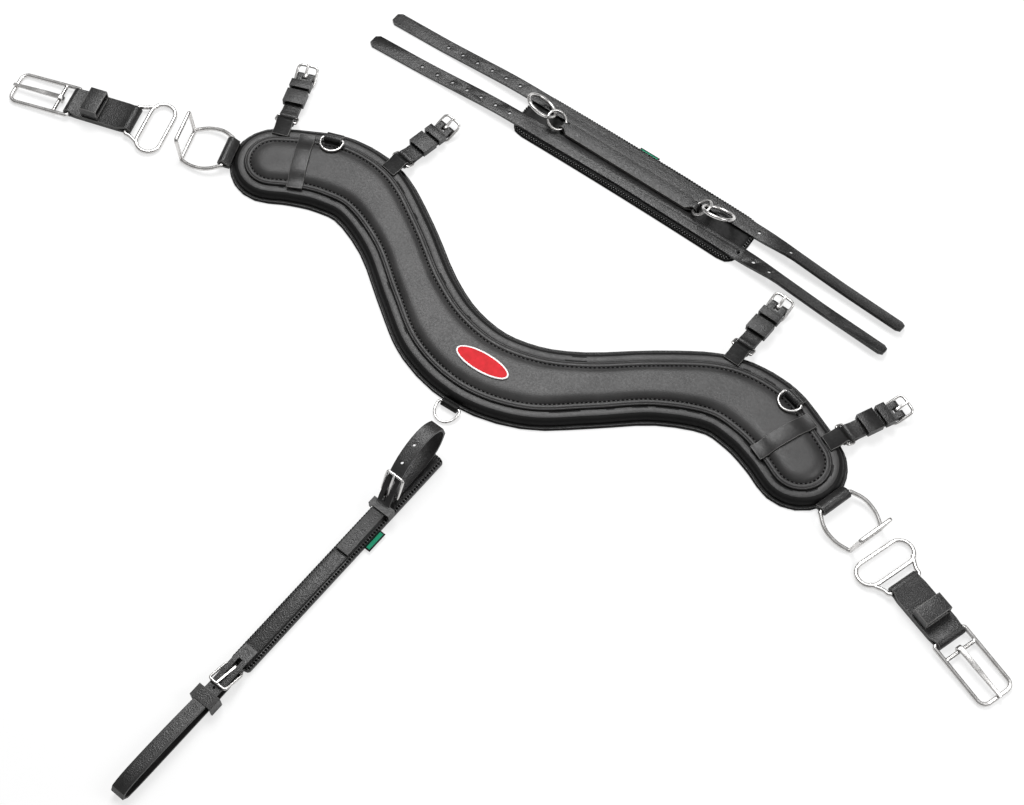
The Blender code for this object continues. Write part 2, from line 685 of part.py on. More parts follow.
def tug_strap(name, frame, leather, parent):
    """Folded strap from the loop to the buckle, with its two keepers and the slot for the tongue."""
    turn = TUG_WIRE + WIRE_PLAY + TUG_STRAP_THICKNESS / 2
    half_gap = (TUG_STRAP_THICKNESS + LAYER_GAP) / 2
    path = folded_path(TUG_STRAP_LENGTH, turn, turn, half_gap)
    bm = ribbon(path, TUG_STRAP_WIDTH, TUG_STRAP_THICKNESS, closed=True)
    strap = add_object(name, bm, leather, frame, parent)
    top = half_gap + TUG_STRAP_THICKNESS / 2
    for index, (place_share, length_share) in enumerate(TUG_KEEPER_SHARES):
        ring = keeper_ring(
            TUG_STRAP_WIDTH + 2 * TUG_KEEPER_PLAY, half_gap, top + TUG_KEEPER_OPENING,
            TUG_KEEPER_WALL, length_share * TUG_STRAP_LENGTH,
        )
        spot = shifted(frame, x=place_share * TUG_STRAP_LENGTH)
        combine(strap, helper(f"{name}_keeper_{index + 1}", ring, spot, leather), "UNION")
    low = (TUG_STRAP_LENGTH - 2 * turn, -TONGUE_SLOT / 2, -2 * turn)
    high = (TUG_STRAP_LENGTH + 2 * turn, TONGUE_SLOT / 2, 2 * turn)
    combine(strap, helper(f"{name}_slot", box(low, high), frame, leather), "DIFFERENCE")
    return strap


def bar_buckle(name, frame, metal, parent, size, wire_radius, rounds, bar_out, sides):
    """Rounded wire frame, from its rear to its front along X, with a bar across it."""
    rear, front, width = size
    half = width / 2 - wire_radius
    corners = [(rear, -half), (front, -half), (front, half), (rear, half)]
    bm = wire(flat(rounded(corners, rounds, 3)), wire_radius, sides=sides)
    buckle = add_object(name, bm, metal, frame, parent)
    points = [(bar_out, -half, 0), (bar_out, half, 0)]
    bar = wire(points, wire_radius * BAR_WIRE_SHARE, closed=False, sides=sides)
    combine(buckle, helper(f"{name}_bar", bar, frame, metal), "UNION")
    return buckle


def tongue(name, frame, metal, parent, reach, bar_radius, rest, widths, thickness):
    """Buckle tongue: an eye round the bar and a tapered point that lies on the frame's front."""
    turn = bar_radius + WIRE_PLAY + thickness / 2
    path = arc((0, 0), turn, 250, 60, FOLD_STEPS)
    path.append((reach * TONGUE_RISE_SHARE, rest))
    path.append((reach, rest))
    bm = ribbon(path, [widths[0]] * (len(path) - 1) + [widths[1]], thickness)
    return add_object(name, bm, metal, frame, parent)


def tug(name, frame, leather, metal):
    """One tug: tab, loop, strap, buckle and tongue."""
    tug_tab(f"{name}_tab", frame, leather)
    loop_frame = shifted(frame, TUG_BAR_OUT, TUG_BAR_HEIGHT, -TUG_LOOP_DROP_DEG)
    loop = tug_loop(f"{name}_loop", loop_frame, metal)
    drop = math.radians(TUG_LOOP_DROP_DEG)
    outer_bar = TUG_BAR_OUT + TUG_LOOP_DEPTH * math.cos(drop)
    outer_height = TUG_BAR_HEIGHT - TUG_LOOP_DEPTH * math.sin(drop)
    depth = LAYER_GAP / 2 + TUG_STRAP_THICKNESS + TUG_WIRE + TUG_BUCKLE_CLEARANCE
    end_height = depth + TUG_WIRE
    strap_pitch = -math.degrees(math.asin((outer_height - end_height) / TUG_STRAP_LENGTH))
    strap_frame = shifted(frame, outer_bar, outer_height, strap_pitch)
    strap = tug_strap(f"{name}_strap", strap_frame, leather, loop)
    buckle_pitch = math.degrees(math.asin(depth / TUG_BUCKLE_REAR))
    buckle_frame = shifted(strap_frame, TUG_STRAP_LENGTH, 0, buckle_pitch)
    size = (-TUG_BUCKLE_REAR, TUG_BUCKLE_FRONT, TUG_BUCKLE_WIDTH)
    rounds = [TUG_BUCKLE_ROUND] * 4
    buckle = bar_buckle(
        f"{name}_buckle", buckle_frame, metal, strap, size, TUG_WIRE, rounds, 0, THIN_WIRE_SIDES
    )
    rest = TUG_WIRE + TUG_TONGUE_THICKNESS / 2 + GAP
    widths = (TUG_TONGUE_WIDTH, TUG_TONGUE_WIDTH * TONGUE_TIP_SHARE)
    reach = TUG_BUCKLE_FRONT + TUG_WIRE
    tongue(f"{name}_tongue", buckle_frame, metal, buckle, reach, TUG_WIRE, rest, widths, TUG_TONGUE_THICKNESS)


# Dees on the collar

def dee(name, frame, metal, width, depth):
    """Wire dee with a straight bar at X = 0 and a round far side, hinged on its bar."""
    half = width / 2 - TUG_WIRE
    shoulder = depth * DEE_SHOULDER_SHARE
    far = half * ROUND_END_SHARE
    corners = [(0, -half), (shoulder + half, -half), (shoulder + half, half), (0, half)]
    outline = rounded(corners, [DEE_BAR_ROUND, far, far, DEE_BAR_ROUND], 6)
    squash = (depth - TUG_WIRE) / (shoulder + half)
    outline = [(x * squash, y) for x, y in outline]
    return add_object(name, wire(flat(outline), TUG_WIRE, sides=THIN_WIRE_SIDES), metal, frame)


def face_dee(side, label, leather, metal):
    """Dee that lies on the face, and the tab that holds it on the upper rim."""
    edge, normal = upper_edge(side * FACE_DEE_STATION_SHARE)
    frame = frame_at(edge, 0, heading_of(-normal))
    turn = TUG_WIRE + WIRE_PLAY + TUG_TAB_THICKNESS / 2
    rest = FACE_EDGE_TOP + GAP + TUG_TAB_THICKNESS / 2
    bar_height = rest + turn
    path = [(LIP_WIDTH + ROLL_WIDTH / 4, ROLL_TOP + TUG_TAB_THICKNESS), (LIP_WIDTH + ROLL_WIDTH / 2, rest)]
    path.extend(arc((FACE_DEE_BAR_INSET, bar_height), turn, -100, 190, FOLD_STEPS))
    bm = ribbon(path, FACE_DEE_TAB_WIDTH, TUG_TAB_THICKNESS)
    add_object(f"face_dee_tab_{label}", bm, leather, frame)
    far_height = FACE_TOP + GAP + TUG_WIRE
    pitch = math.degrees(math.asin((far_height - bar_height) / FACE_DEE_DEPTH))
    bar = shifted(frame, FACE_DEE_BAR_INSET, bar_height, pitch)
    dee(f"face_dee_{label}", bar, metal, FACE_DEE_WIDTH, FACE_DEE_DEPTH)


def centre_dee(lining, leather, metal):
    """Dee below the collar's middle, in a tab that is one piece with the lining."""
    centre, normal, half = collar_station(0)
    frame = frame_at(centre - normal * half, 0, heading_of(-normal))
    turn = TUG_WIRE + WIRE_PLAY + CENTRE_TAB_THICKNESS / 2
    height = turn + CENTRE_TAB_THICKNESS / 2 + LAYER_GAP
    path = [(-LIP_WIDTH / 2, LINING_THICKNESS / 2)]
    path.extend(arc((CENTRE_BAR_OUT, height), turn, -110, 160, FOLD_STEPS))
    tab = ribbon(path, CENTRE_TAB_WIDTH, CENTRE_TAB_THICKNESS)
    combine(lining, helper("centre_dee_tab", tab, frame, leather), "UNION")
    drop = math.degrees(math.asin((height - TUG_WIRE - GAP) / CENTRE_DEE_DEPTH))
    bar = shifted(frame, CENTRE_BAR_OUT, height, -drop)
    dee("centre_dee", bar, metal, CENTRE_DEE_WIDTH, CENTRE_DEE_DEPTH)


# End tabs and trace dees

END_TAB_TURN = TRACE_WIRE + WIRE_PLAY + END_TAB_LEATHER / 2
END_BAR_HEIGHT = ROLL_BASE + END_TAB_LEATHER / 2 + END_TAB_TURN


def end_tab(name, frame, leather):
    """Folded leather tab at the collar's end, round the trace dee's bar."""
    root = -LIP_WIDTH + GAP
    low = ROLL_BASE + END_TAB_LEATHER / 2
    path = [(root, low)]
    path.extend(arc((END_TAB_REACH, END_BAR_HEIGHT), END_TAB_TURN, -90, 120, FOLD_STEPS))
    path.append((root, low + END_TAB_LEATHER + LAYER_GAP))
    bm = ribbon(path, END_TAB_WIDTH, END_TAB_LEATHER)
    return add_object(name, bm, leather, frame)


def trace_dee(name, frame, hook_lean, metal):
    """Large dee with the hook frame that stands on its outer bar."""
    drop = math.degrees(math.asin((END_BAR_HEIGHT - TRACE_WIRE - GAP) / TRACE_DEE_DEPTH))
    bar = shifted(frame, END_TAB_REACH, END_BAR_HEIGHT, -drop)
    half = TRACE_DEE_WIDTH / 2 - TRACE_WIRE
    right = [(out * TRACE_DEE_DEPTH, -across * half) for out, across in TRACE_DEE_OUTLINE_SHARES]
    left = [(out, -across) for out, across in reversed(right)]
    rounds = list(TRACE_DEE_ROUNDS) + list(reversed(TRACE_DEE_ROUNDS))
    piece = add_object(name, wire(flat(rounded(right + left, rounds, 4)), TRACE_WIRE), metal, bar)
    across = HOOK_FRAME_WIDTH / 2 - TRACE_WIRE
    corners = [(-across, 0), (-across, HOOK_FRAME_HEIGHT), (across, HOOK_FRAME_HEIGHT), (across, 0)]
    outline = rounded(corners, [HOOK_FRAME_ROUND] * 4, 3, closed=False)
    lean = hook_lean / HOOK_FRAME_HEIGHT
    points = [(TRACE_DEE_DEPTH + up * lean, y, up) for y, up in outline]
    upright = wire(points, TRACE_WIRE * HOOK_FRAME_WIRE_SHARE, closed=False)
    combine(piece, helper(f"{name}_frame", upright, bar, metal), "UNION")
    return piece


# Trace tugs

def slot_loop(name, frame, metal, parent):
    """Loop with a long slot across it and two arms to the strap bar, where it hinges."""
    half_long = SLOT_LENGTH / 2 - SLOT_WIRE
    half_wide = SLOT_WIDTH / 2 - SLOT_WIRE
    near = STRAP_BAR_OUT - half_wide
    far = STRAP_BAR_OUT + half_wide
    corners = [(near, -half_long), (far, -half_long), (far, half_long), (near, half_long)]
    outline = rounded(corners, [half_wide * ROUND_END_SHARE] * 4, 6)
    piece = add_object(name, wire(flat(outline), SLOT_WIRE), metal, frame, parent)
    half_bar = STRAP_BAR_WIDTH / 2 - SLOT_ARM_WIRE
    half_spread = SLOT_ARM_SPREAD / 2 - SLOT_ARM_WIRE
    root = STRAP_BAR_OUT - half_wide * SLOT_ARM_ROOT_SHARE
    arms = [(root, -half_spread), (0, -half_bar), (0, half_bar), (root, half_spread)]
    outline = rounded(arms, [SLOT_ARM_ROUND] * 4, 3, closed=False)
    bar = wire(flat(outline), SLOT_ARM_WIRE, closed=False)
    combine(piece, helper(f"{name}_arms", bar, frame, metal), "UNION")
    return piece


def trace_tug(side, toward, leather, metal):
    """One trace tug beyond the collar's end: slot loop, leather, box keeper, buckle and tongue."""
    place = (toward * (COLLAR_HALF_LENGTH + TRACE_TUG_BEYOND[side]), TRACE_TUG_ACROSS[side])
    length = TRACE_LEATHER_LENGTH[side]
    turn = TRACE_WIRE + WIRE_PLAY + TRACE_LEATHER_THICKNESS / 2
    height = turn + TRACE_LEATHER_THICKNESS / 2 + GAP
    half_gap = (TRACE_LEATHER_THICKNESS + LAYER_GAP) / 2
    path = folded_path(length, turn, turn, half_gap)
    widths = [TRACE_FOLD_WIDTH if index % (len(path) // 2) < FOLD_STEPS + 1 else TRACE_LEATHER_WIDTH
              for index in range(len(path))]
    bm = ribbon(path, widths, TRACE_LEATHER_THICKNESS, closed=True)
    bar_frame = shifted(frame_at(place, 0, TRACE_TUG_HEADING_DEG[side]), STRAP_BAR_OUT, height)
    strap = add_object(f"trace_leather_{side}", bm, leather, bar_frame)
    low = half_gap + TRACE_LEATHER_THICKNESS / 2 + GAP + TRACE_KEEPER_WALL
    opening = TRACE_KEEPER_WIDTH - 2 * TRACE_KEEPER_WALL
    ring = keeper_ring(opening, low, low + TRACE_KEEPER_SPACE, TRACE_KEEPER_WALL, TRACE_KEEPER_LENGTH)
    spot = shifted(bar_frame, x=length - TRACE_KEEPER_BACK)
    add_object(f"trace_keeper_{side}", ring, leather, spot)
    drop = math.degrees(math.asin((height - SLOT_WIRE - GAP) / (STRAP_BAR_OUT + SLOT_WIDTH / 2)))
    loop_frame = shifted(bar_frame @ Matrix.Rotation(math.pi, 4, "Z"), pitch_deg=-drop)
    slot_loop(f"slot_loop_{side}", loop_frame, metal, strap)
    drop = math.degrees(math.asin((height - TRACE_WIRE - GAP) / TRACE_BUCKLE_LENGTH))
    buckle_frame = shifted(bar_frame, length, 0, -drop)
    size = (0, TRACE_BUCKLE_LENGTH, TRACE_BUCKLE_WIDTH)
    rounds = [TRACE_BUCKLE_REAR_ROUND, TRACE_BUCKLE_ROUND, TRACE_BUCKLE_ROUND, TRACE_BUCKLE_REAR_ROUND]
    buckle = bar_buckle(
        f"trace_buckle_{side}", buckle_frame, metal, strap, size, TRACE_WIRE, rounds,
        TRACE_BUCKLE_BAR_OUT, WIRE_SIDES,
    )
    tongue_frame = shifted(buckle_frame, TRACE_BUCKLE_BAR_OUT)
    reach = TRACE_BUCKLE_LENGTH - TRACE_BUCKLE_BAR_OUT + TRACE_WIRE
    rest = TRACE_WIRE + TRACE_TONGUE_THICKNESS / 2 + GAP
    widths = (TRACE_TONGUE_WIDTH, TRACE_TONGUE_TIP_WIDTH)
    tongue(
        f"trace_tongue_{side}", tongue_frame, metal, buckle, reach, TRACE_WIRE, rest,
        widths, TRACE_TONGUE_THICKNESS,
    )


# Neck strap

def neck_rise(x):
    """How far the neck strap's middle line lies above its axis."""
    return NECK_BOW * (1 - (x / NECK_HALF_LENGTH) ** 2)


def neck_strap_line(x, side):
    """Middle line of one of the two straps, which spread a little towards the left end."""
    splay = max(-x / NECK_HALF_LENGTH, 0) * NECK_STRAP_SPLAY
    return neck_rise(x) + side * (NECK_STRAP_SPREAD + splay)


def neck_pad(frame, leather):
    """Padded body under the neck strap's middle, with rolled edges."""
    middle, down = NECK_PAD_PLACE
    stations = []
    for step in range(NECK_PAD_STEPS + 1):
        along = (step / NECK_PAD_STEPS - 0.5) * (NECK_PAD_LENGTH - 2 * NECK_PAD_CORNER)
        spot = Vector((middle + along, neck_rise(middle + along) + down))
        stations.append((spot, Vector((0, 1)), NECK_PAD_WIDTH / 2))
    levels = [(across * NECK_PAD_ROLL, up * NECK_PAD_HEIGHT) for across, up in NECK_PAD_SHARES]
    outlines = [
        raised(band_outline(stations, inset, 1, 8, NECK_PAD_CORNER, NECK_PAD_CORNER_SHARE), height)
        for inset, height in levels
    ]
    return add_object("neck_pad", stack(outlines), leather, frame)


def tilt_strap(bm, side, edge, low, high):
    """Right end of a neck strap turned about its line, so that its lower edge lifts off the floor."""
    for vert in bm.verts:
        run = min(max((vert.co.x - edge) / NECK_STRAP_TILT_RUN, 0), 1)
        tilt = math.radians(NECK_STRAP_TILT_DEG) * run * run * (3 - 2 * run)
        across = vert.co.y - neck_strap_line(vert.co.x, side)
        level = strap_level(vert.co.x, edge, low, high)
        lift = vert.co.z - level
        vert.co.y += across * (math.cos(tilt) - 1) + lift * math.sin(tilt)
        vert.co.z = level + lift * math.cos(tilt) + (NECK_STRAP_WIDTH / 2 - across) * math.sin(tilt)


def strap_level(x, edge, low, high):
    """Height of a neck strap's middle at a place along it."""
    fall = min(max((abs(x) - edge) / NECK_STRAP_FALL, 0), 1)
    return high + (low - high) * fall * fall * (3 - 2 * fall)


def neck_strap(name, side, frame, leather):
    """Long strap that lies on the pad and falls to the floor beyond it."""
    high = NECK_PAD_HEIGHT + GAP + NECK_STRAP_THICKNESS / 2
    low = GAP + NECK_STRAP_THICKNESS / 2
    edge = NECK_PAD_LENGTH / 2 + NECK_PAD_PLACE[0] + NECK_STRAP_THICKNESS
    path = []
    for step in range(-NECK_STEPS, NECK_STEPS + 1):
        x = step / NECK_STEPS * NECK_HALF_LENGTH
        path.append((x, strap_level(x, edge, low, high), neck_strap_line(x, side)))
    first = Vector(path[0])
    last = Vector(path[-1])
    after_tip = first + (Vector(path[1]) - first).normalized() * NECK_STRAP_TIP
    before_tip = last + (Vector(path[-2]) - last).normalized() * NECK_STRAP_TIP
    path = [path[0], tuple(after_tip), *path[1:-1], tuple(before_tip), path[-1]]
    widths = [NECK_STRAP_WIDTH] * len(path)
    widths[0] = widths[-1] = NECK_STRAP_WIDTH * NECK_STRAP_TIP_SHARE
    bm = ribbon(path, widths, NECK_STRAP_THICKNESS)
    tilt_strap(bm, side, edge, low, high)
    strap = add_object(name, bm, leather, frame)
    cutter = bmesh.new()
    for share in NECK_HOLE_SHARES[name.split("_")[1]]:
        x = share * NECK_HALF_LENGTH
        place = Matrix.Translation((x, neck_strap_line(x, side), high / 2))
        bmesh.ops.create_cone(
            cutter, cap_ends=True, segments=NECK_HOLE_SIDES, radius1=NECK_HOLE_RADIUS,
            radius2=NECK_HOLE_RADIUS, depth=2 * high, matrix=place,
        )
    combine(strap, helper(f"{name}_holes", cutter, frame, leather), "DIFFERENCE")
    return strap


def ring(radius, offset, steps=20):
    """Points of a circle whose nearest point is offset beyond the origin along X."""
    turns = [math.tau * step / steps for step in range(steps)]
    return [(radius + offset + radius * math.cos(turn), radius * math.sin(turn), 0) for turn in turns]


def neck_fittings(frame, leather, metal):
    """Centre strip between the straps, with a chape ring and a rein ring at each end."""
    turn = CHAPE_POCKET + NECK_STRIP_THICKNESS / 2
    height = NECK_PAD_HEIGHT + GAP + turn + NECK_STRIP_THICKNESS / 2
    half_gap = (NECK_STRIP_THICKNESS + LAYER_GAP) / 2
    path = folded_path(NECK_STRIP_LENGTH, turn, turn, half_gap)
    widths = [NECK_CHAPE_WIDTH if index % (len(path) // 2) < FOLD_STEPS + 1 else NECK_STRIP_WIDTH
              for index in range(len(path))]
    start = NECK_STRIP_ACROSS - NECK_STRIP_LENGTH / 2
    path = [(x, z, neck_rise(start + x)) for x, z in path]
    place = shifted(frame, start, height)
    strip = add_object("neck_strip", ribbon(path, widths, NECK_STRIP_THICKNESS, closed=True), leather, place)
    for side, label in ((-1, "left"), (1, "right")):
        x = start if side < 0 else start + NECK_STRIP_LENGTH
        spot = frame @ Matrix.Translation((x, neck_rise(x), height))
        if side < 0:
            spot = spot @ Matrix.Rotation(math.pi, 4, "Z")
        spot = shifted(spot, pitch_deg=CHAPE_RING_RISE_DEG[label])
        circle = ring(CHAPE_RING_RADIUS, -CHAPE_RING_SET)
        chape = add_object(
            f"chape_ring_{label}", wire(circle, CHAPE_RING_WIRE, sides=THIN_WIRE_SIDES), metal, spot, strip
        )
        far = shifted(spot, 2 * CHAPE_RING_RADIUS - CHAPE_RING_SET, 0)
        far = shifted(far, pitch_deg=REIN_RING_RISE_DEG[label] - CHAPE_RING_RISE_DEG[label])
        roll = Matrix.Rotation(math.radians(REIN_RING_ROLL_DEG[label]), 4, "X")
        inside = CHAPE_RING_WIRE + REIN_RING_WIRE + REIN_RING_PLAY
        circle = [roll @ Vector(point) for point in ring(REIN_RING_RADIUS, -inside, 28)]
        add_object(f"rein_ring_{label}", wire(circle, REIN_RING_WIRE), metal, far, chape)


# False martingale

def martingale_pad(frame, leather):
    """Long pad with the raised strap that is sewn on it."""
    half = MARTINGALE_PAD_WIDTH / 2
    stations = [
        (Vector((MARTINGALE_PAD_CORNER, 0)), Vector((0, 1)), half),
        (Vector((MARTINGALE_PAD_LENGTH - MARTINGALE_PAD_CORNER, 0)), Vector((0, 1)), half),
    ]
    outlines = []
    for across, up in MARTINGALE_PAD_SHARES:
        outline = band_outline(
            stations, across * MARTINGALE_PAD_ROLL, 1, 6, MARTINGALE_PAD_CORNER, MARTINGALE_PAD_CORNER_SHARE
        )
        outlines.append(raised(outline, up * MARTINGALE_PAD_HEIGHT))
    pad = add_object("martingale_pad", stack(outlines), leather, frame)
    low = (SEWN_STRAP_START, -SEWN_STRAP_WIDTH / 2, MARTINGALE_PAD_HEIGHT - SEWN_STRAP_SINK)
    end = MARTINGALE_PAD_LENGTH - SEWN_STRAP_TAIL
    high = (end, SEWN_STRAP_WIDTH / 2, MARTINGALE_PAD_HEIGHT + SEWN_STRAP_HEIGHT)
    combine(pad, helper("martingale_pad_strap", box(low, high), frame, leather), "UNION")
    return pad


def drift_at(path, x):
    """Sideways place of the upper part of a loop's path at a place along it."""
    upper = path[len(path) // 2:]
    return next(start[2] for start, end in zip(upper, upper[1:]) if start[0] >= x >= end[0])


def loop(label, pad_frame, spec, foot, leather, metal):
    """Strap of a martingale loop with its chape, slot, holes and keeper, and its buckle and tongue."""
    (along, turned), (rise, across), reach, pitch_deg, path_shares, hole_shares, keeper_shares = spec
    frame = shifted(pad_frame, along) @ Matrix.Rotation(math.radians(turned), 4, "Z")
    bar_rise = rise * LOOP_REACH
    bar_across = across * LOOP_REACH
    turn = LOOP_BUCKLE_WIRE + WIRE_PLAY + LOOP_STRAP_THICKNESS / 2
    path = [(x, z, bar_across) for x, z in arc((0, bar_rise), turn, 80, 260, FOLD_STEPS)]
    path.extend(tuple(share * LOOP_REACH for share in point) for point in path_shares)
    strap_bm = ribbon(path, LOOP_STRAP_WIDTH, LOOP_STRAP_THICKNESS)
    strap = add_object(f"{label}_strap", strap_bm, leather, frame)
    place, length, top = (share * LOOP_REACH for share in keeper_shares)
    half = (LOOP_KEEPER_WIDTH - LOOP_KEEPER_THICKNESS) / 2
    level = top + LOOP_STRAP_THICKNESS / 2 + LOOP_KEEPER_THICKNESS / 2 - LOOP_KEEPER_SINK
    staple_path = [(-half, foot), (-half, level), (half, level), (half, foot)]
    staple = ribbon(staple_path, length, LOOP_KEEPER_THICKNESS)
    spot = shifted(frame, place) @ Matrix.Rotation(math.pi / 2, 4, "Z")
    combine(strap, helper(f"{label}_keeper", staple, spot, leather), "UNION")
    bar_frame = shifted(frame @ Matrix.Translation((0, bar_across, bar_rise)), pitch_deg=pitch_deg)
    low = (-2 * turn, -LOOP_STRAP_SLOT / 2, -2 * turn)
    high = (reach * LOOP_SLOT_SHARE, LOOP_STRAP_SLOT / 2, 3 * turn)
    combine(strap, helper(f"{label}_slot", box(low, high), bar_frame, leather), "DIFFERENCE")
    cutter = bmesh.new()
    for share in hole_shares:
        x = share * LOOP_REACH
        spot = Matrix.Translation((x, drift_at(path, x), LOOP_REACH * LOOP_HOLE_LEVEL_SHARES[label]))
        bmesh.ops.create_cone(
            cutter, cap_ends=True, segments=NECK_HOLE_SIDES, radius1=LOOP_HOLE_RADIUS,
            radius2=LOOP_HOLE_RADIUS, depth=LOOP_STRAP_WIDTH, matrix=spot,
        )
    combine(strap, helper(f"{label}_holes", cutter, frame, leather), "DIFFERENCE")
    half = LOOP_BUCKLE_WIDTH / 2 - LOOP_BUCKLE_WIRE
    corners = [(0, -half), (reach, -half), (reach, half), (0, half)]
    bm = wire(flat(rounded(corners, [LOOP_BUCKLE_ROUND] * 4, 3)), LOOP_BUCKLE_WIRE, sides=THIN_WIRE_SIDES)
    buckle = add_object(f"{label}_buckle", bm, metal, bar_frame)
    rest = LOOP_BUCKLE_WIRE + LOOP_TONGUE_THICKNESS / 2 + GAP
    widths = (LOOP_TONGUE_WIDTH, LOOP_TONGUE_WIDTH * TONGUE_TIP_SHARE)
    tip = reach + LOOP_BUCKLE_WIRE
    tongue(
        f"{label}_tongue", bar_frame, metal, buckle, tip, LOOP_BUCKLE_WIRE, rest,
        widths, LOOP_TONGUE_THICKNESS,
    )


# Build

black = finish("black_leather", (0.012, 0.012, 0.013), 0.42)
matt = finish("lining_leather", (0.017, 0.016, 0.016), 0.6)
steel = finish("polished_steel", (0.62, 0.61, 0.60), 0.22, 1.0)
red = finish("red_enamel", (0.45, 0.010, 0.014), 0.3)

lining = collar_lining(matt)
collar_padding(black)
collar_face(black)
badge(red)
cross_strap("cross_strap_left", -1, black)
cross_strap("cross_strap_right", 1, black)
face_dee(-1, "left", black, steel)
face_dee(1, "right", black, steel)
centre_dee(lining, matt, steel)
for side, label in ((-1, "left"), (1, "right")):
    spot, out = cap_edge(side, END_TAB_CAP_DEG)
    floor = frame_at(spot, 0, END_TAB_HEADING_DEG[label])
    end_tab(f"end_tab_{label}", floor, black)
    trace_dee(f"trace_dee_{label}", floor, HOOK_FRAME_LEAN[label], steel)
for label, heading in TUG_HEADING_DEG.items():
    side = -1 if label.endswith("left") else 1
    if "outer" in label:
        spot, out = cap_edge(side, TUG_OUTER_CAP_DEG)
    else:
        spot, out = upper_edge(side * TUG_INNER_STATION_SHARE)
    tug(label, edge_frame(spot, out, heading, TUG_TAB_WIDTH), black, steel)
for side, label in ((-1, "left"), (1, "right")):
    trace_tug(label, side, black, steel)
neck_place = (0, COLLAR_RISE + TUG_STRAP_LENGTH + NECK_BEYOND_TUGS)
neck_frame = frame_at(neck_place, 0, NECK_HEADING_DEG)
neck_pad(neck_frame, matt)
neck_strap("neck_upper_strap", 1, neck_frame, black)
neck_strap("neck_lower_strap", -1, neck_frame, black)
neck_fittings(neck_frame, black, steel)
martingale_place = (MARTINGALE_ACROSS, -COLLAR_WIDTH / 2 - MARTINGALE_BELOW)
martingale_frame = frame_at(martingale_place, 0, MARTINGALE_HEADING_DEG)
martingale_pad(martingale_frame, matt)
billet_spec = (
    BILLET_PLACE, BILLET_BAR_SHARES, BILLET_BUCKLE_REACH, BILLET_BUCKLE_PITCH_DEG,
    BILLET_PATH_SHARES, BILLET_HOLE_SHARES, BILLET_KEEPER_SHARES,
)
loop("billet", martingale_frame, billet_spec, MARTINGALE_PAD_HEIGHT + GAP, black, steel)
girth_spec = (
    (MARTINGALE_PAD_LENGTH + GIRTH_BEYOND_PAD, 0), GIRTH_BAR_SHARES, GIRTH_BUCKLE_REACH, GIRTH_BUCKLE_PITCH_DEG,
    GIRTH_PATH_SHARES, GIRTH_HOLE_SHARES, GIRTH_KEEPER_SHARES,
)
loop("girth", martingale_frame, girth_spec, LOOP_KEEPER_FOOT, black, steel)
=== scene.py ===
"""Driving harness laid out as a set and dressed: grained leather with its creases and stitching, padded
collar and pads, polished hardware. Metres, +Z up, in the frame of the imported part."""

import json
import math

import bmesh
import bpy
from mathutils import Matrix, Vector, geometry, noise
from mathutils.bvhtree import BVHTree


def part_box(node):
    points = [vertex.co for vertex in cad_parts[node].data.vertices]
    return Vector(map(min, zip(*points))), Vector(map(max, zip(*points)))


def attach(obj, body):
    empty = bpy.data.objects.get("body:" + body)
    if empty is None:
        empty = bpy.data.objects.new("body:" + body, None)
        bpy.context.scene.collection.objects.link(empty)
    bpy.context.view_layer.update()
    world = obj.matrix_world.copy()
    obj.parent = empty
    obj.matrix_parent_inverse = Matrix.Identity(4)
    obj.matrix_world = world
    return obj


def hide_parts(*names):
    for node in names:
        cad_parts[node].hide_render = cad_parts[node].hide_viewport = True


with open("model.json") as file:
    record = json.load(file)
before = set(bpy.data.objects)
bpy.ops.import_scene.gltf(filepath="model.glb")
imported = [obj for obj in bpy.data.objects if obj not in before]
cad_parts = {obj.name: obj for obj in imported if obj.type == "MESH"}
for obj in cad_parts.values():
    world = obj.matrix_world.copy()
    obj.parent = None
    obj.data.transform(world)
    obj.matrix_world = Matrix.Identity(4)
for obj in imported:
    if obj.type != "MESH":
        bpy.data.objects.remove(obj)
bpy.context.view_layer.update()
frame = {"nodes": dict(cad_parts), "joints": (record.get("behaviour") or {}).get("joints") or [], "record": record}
MM = 0.001
bodies = frame["record"]["behaviour"]["bodies"]
body_of_node = {node: body for body, nodes in bodies.items() for node in nodes}
hinge_of = {joint["child"]: joint for joint in frame["joints"]}
FLOOR_GAP = 0.3 * MM

# Breast collar: centre line, widths and layers, as in the part
COLLAR_HALF_LENGTH = 354 * MM
COLLAR_RISE = 124 * MM
COLLAR_WIDTH = 108 * MM
COLLAR_LINE_SHARES = (
    (0, 0.045), (0.168, 0.142), (0.322, 0.40), (0.492, 0.755),
    (0.667, 1.007), (0.81, 1.02), (0.926, 0.90), (1, 0.791),
)
COLLAR_WIDTH_SHARES = (1, 0.97, 0.88, 0.865, 0.957, 1.02, 0.99, 0.98)
LINING_THICKNESS = 3.3 * MM
LIP_WIDTH = 4.5 * MM
ROLL_WIDTH = 14.5 * MM
ROLL_HEIGHT = 8.5 * MM
ROLL_BASE = LINING_THICKNESS + 0.3 * MM
ROLL_SHARES = (
    (0, 0), (-0.01, 0.08), (0.0, 0.2), (0.02, 0.34), (0.06, 0.5), (0.12, 0.67), (0.2, 0.8), (0.3, 0.89),
    (0.42, 0.96), (0.55, 0.99), (0.68, 1), (0.8, 0.98), (0.9, 0.95), (1, 0.9), (1.3, 0.88),
)
FACE_INSET = LIP_WIDTH + ROLL_WIDTH
FACE_BASE = ROLL_BASE + ROLL_HEIGHT * 0.9 + 0.3 * MM
FACE_EDGE_TOP = FACE_BASE + 2.6 * MM
FACE_CROWN = 4.6 * MM
FACE_EDGE_WIDTH = 8 * MM
STITCH_CHANNEL = 6.9 * MM
CROWN_INSET = FACE_INSET + FACE_EDGE_WIDTH
CROWN_STEPS = 16
CROWN_DRAW_SHARE = 0.97
CROWN_POWER = 6

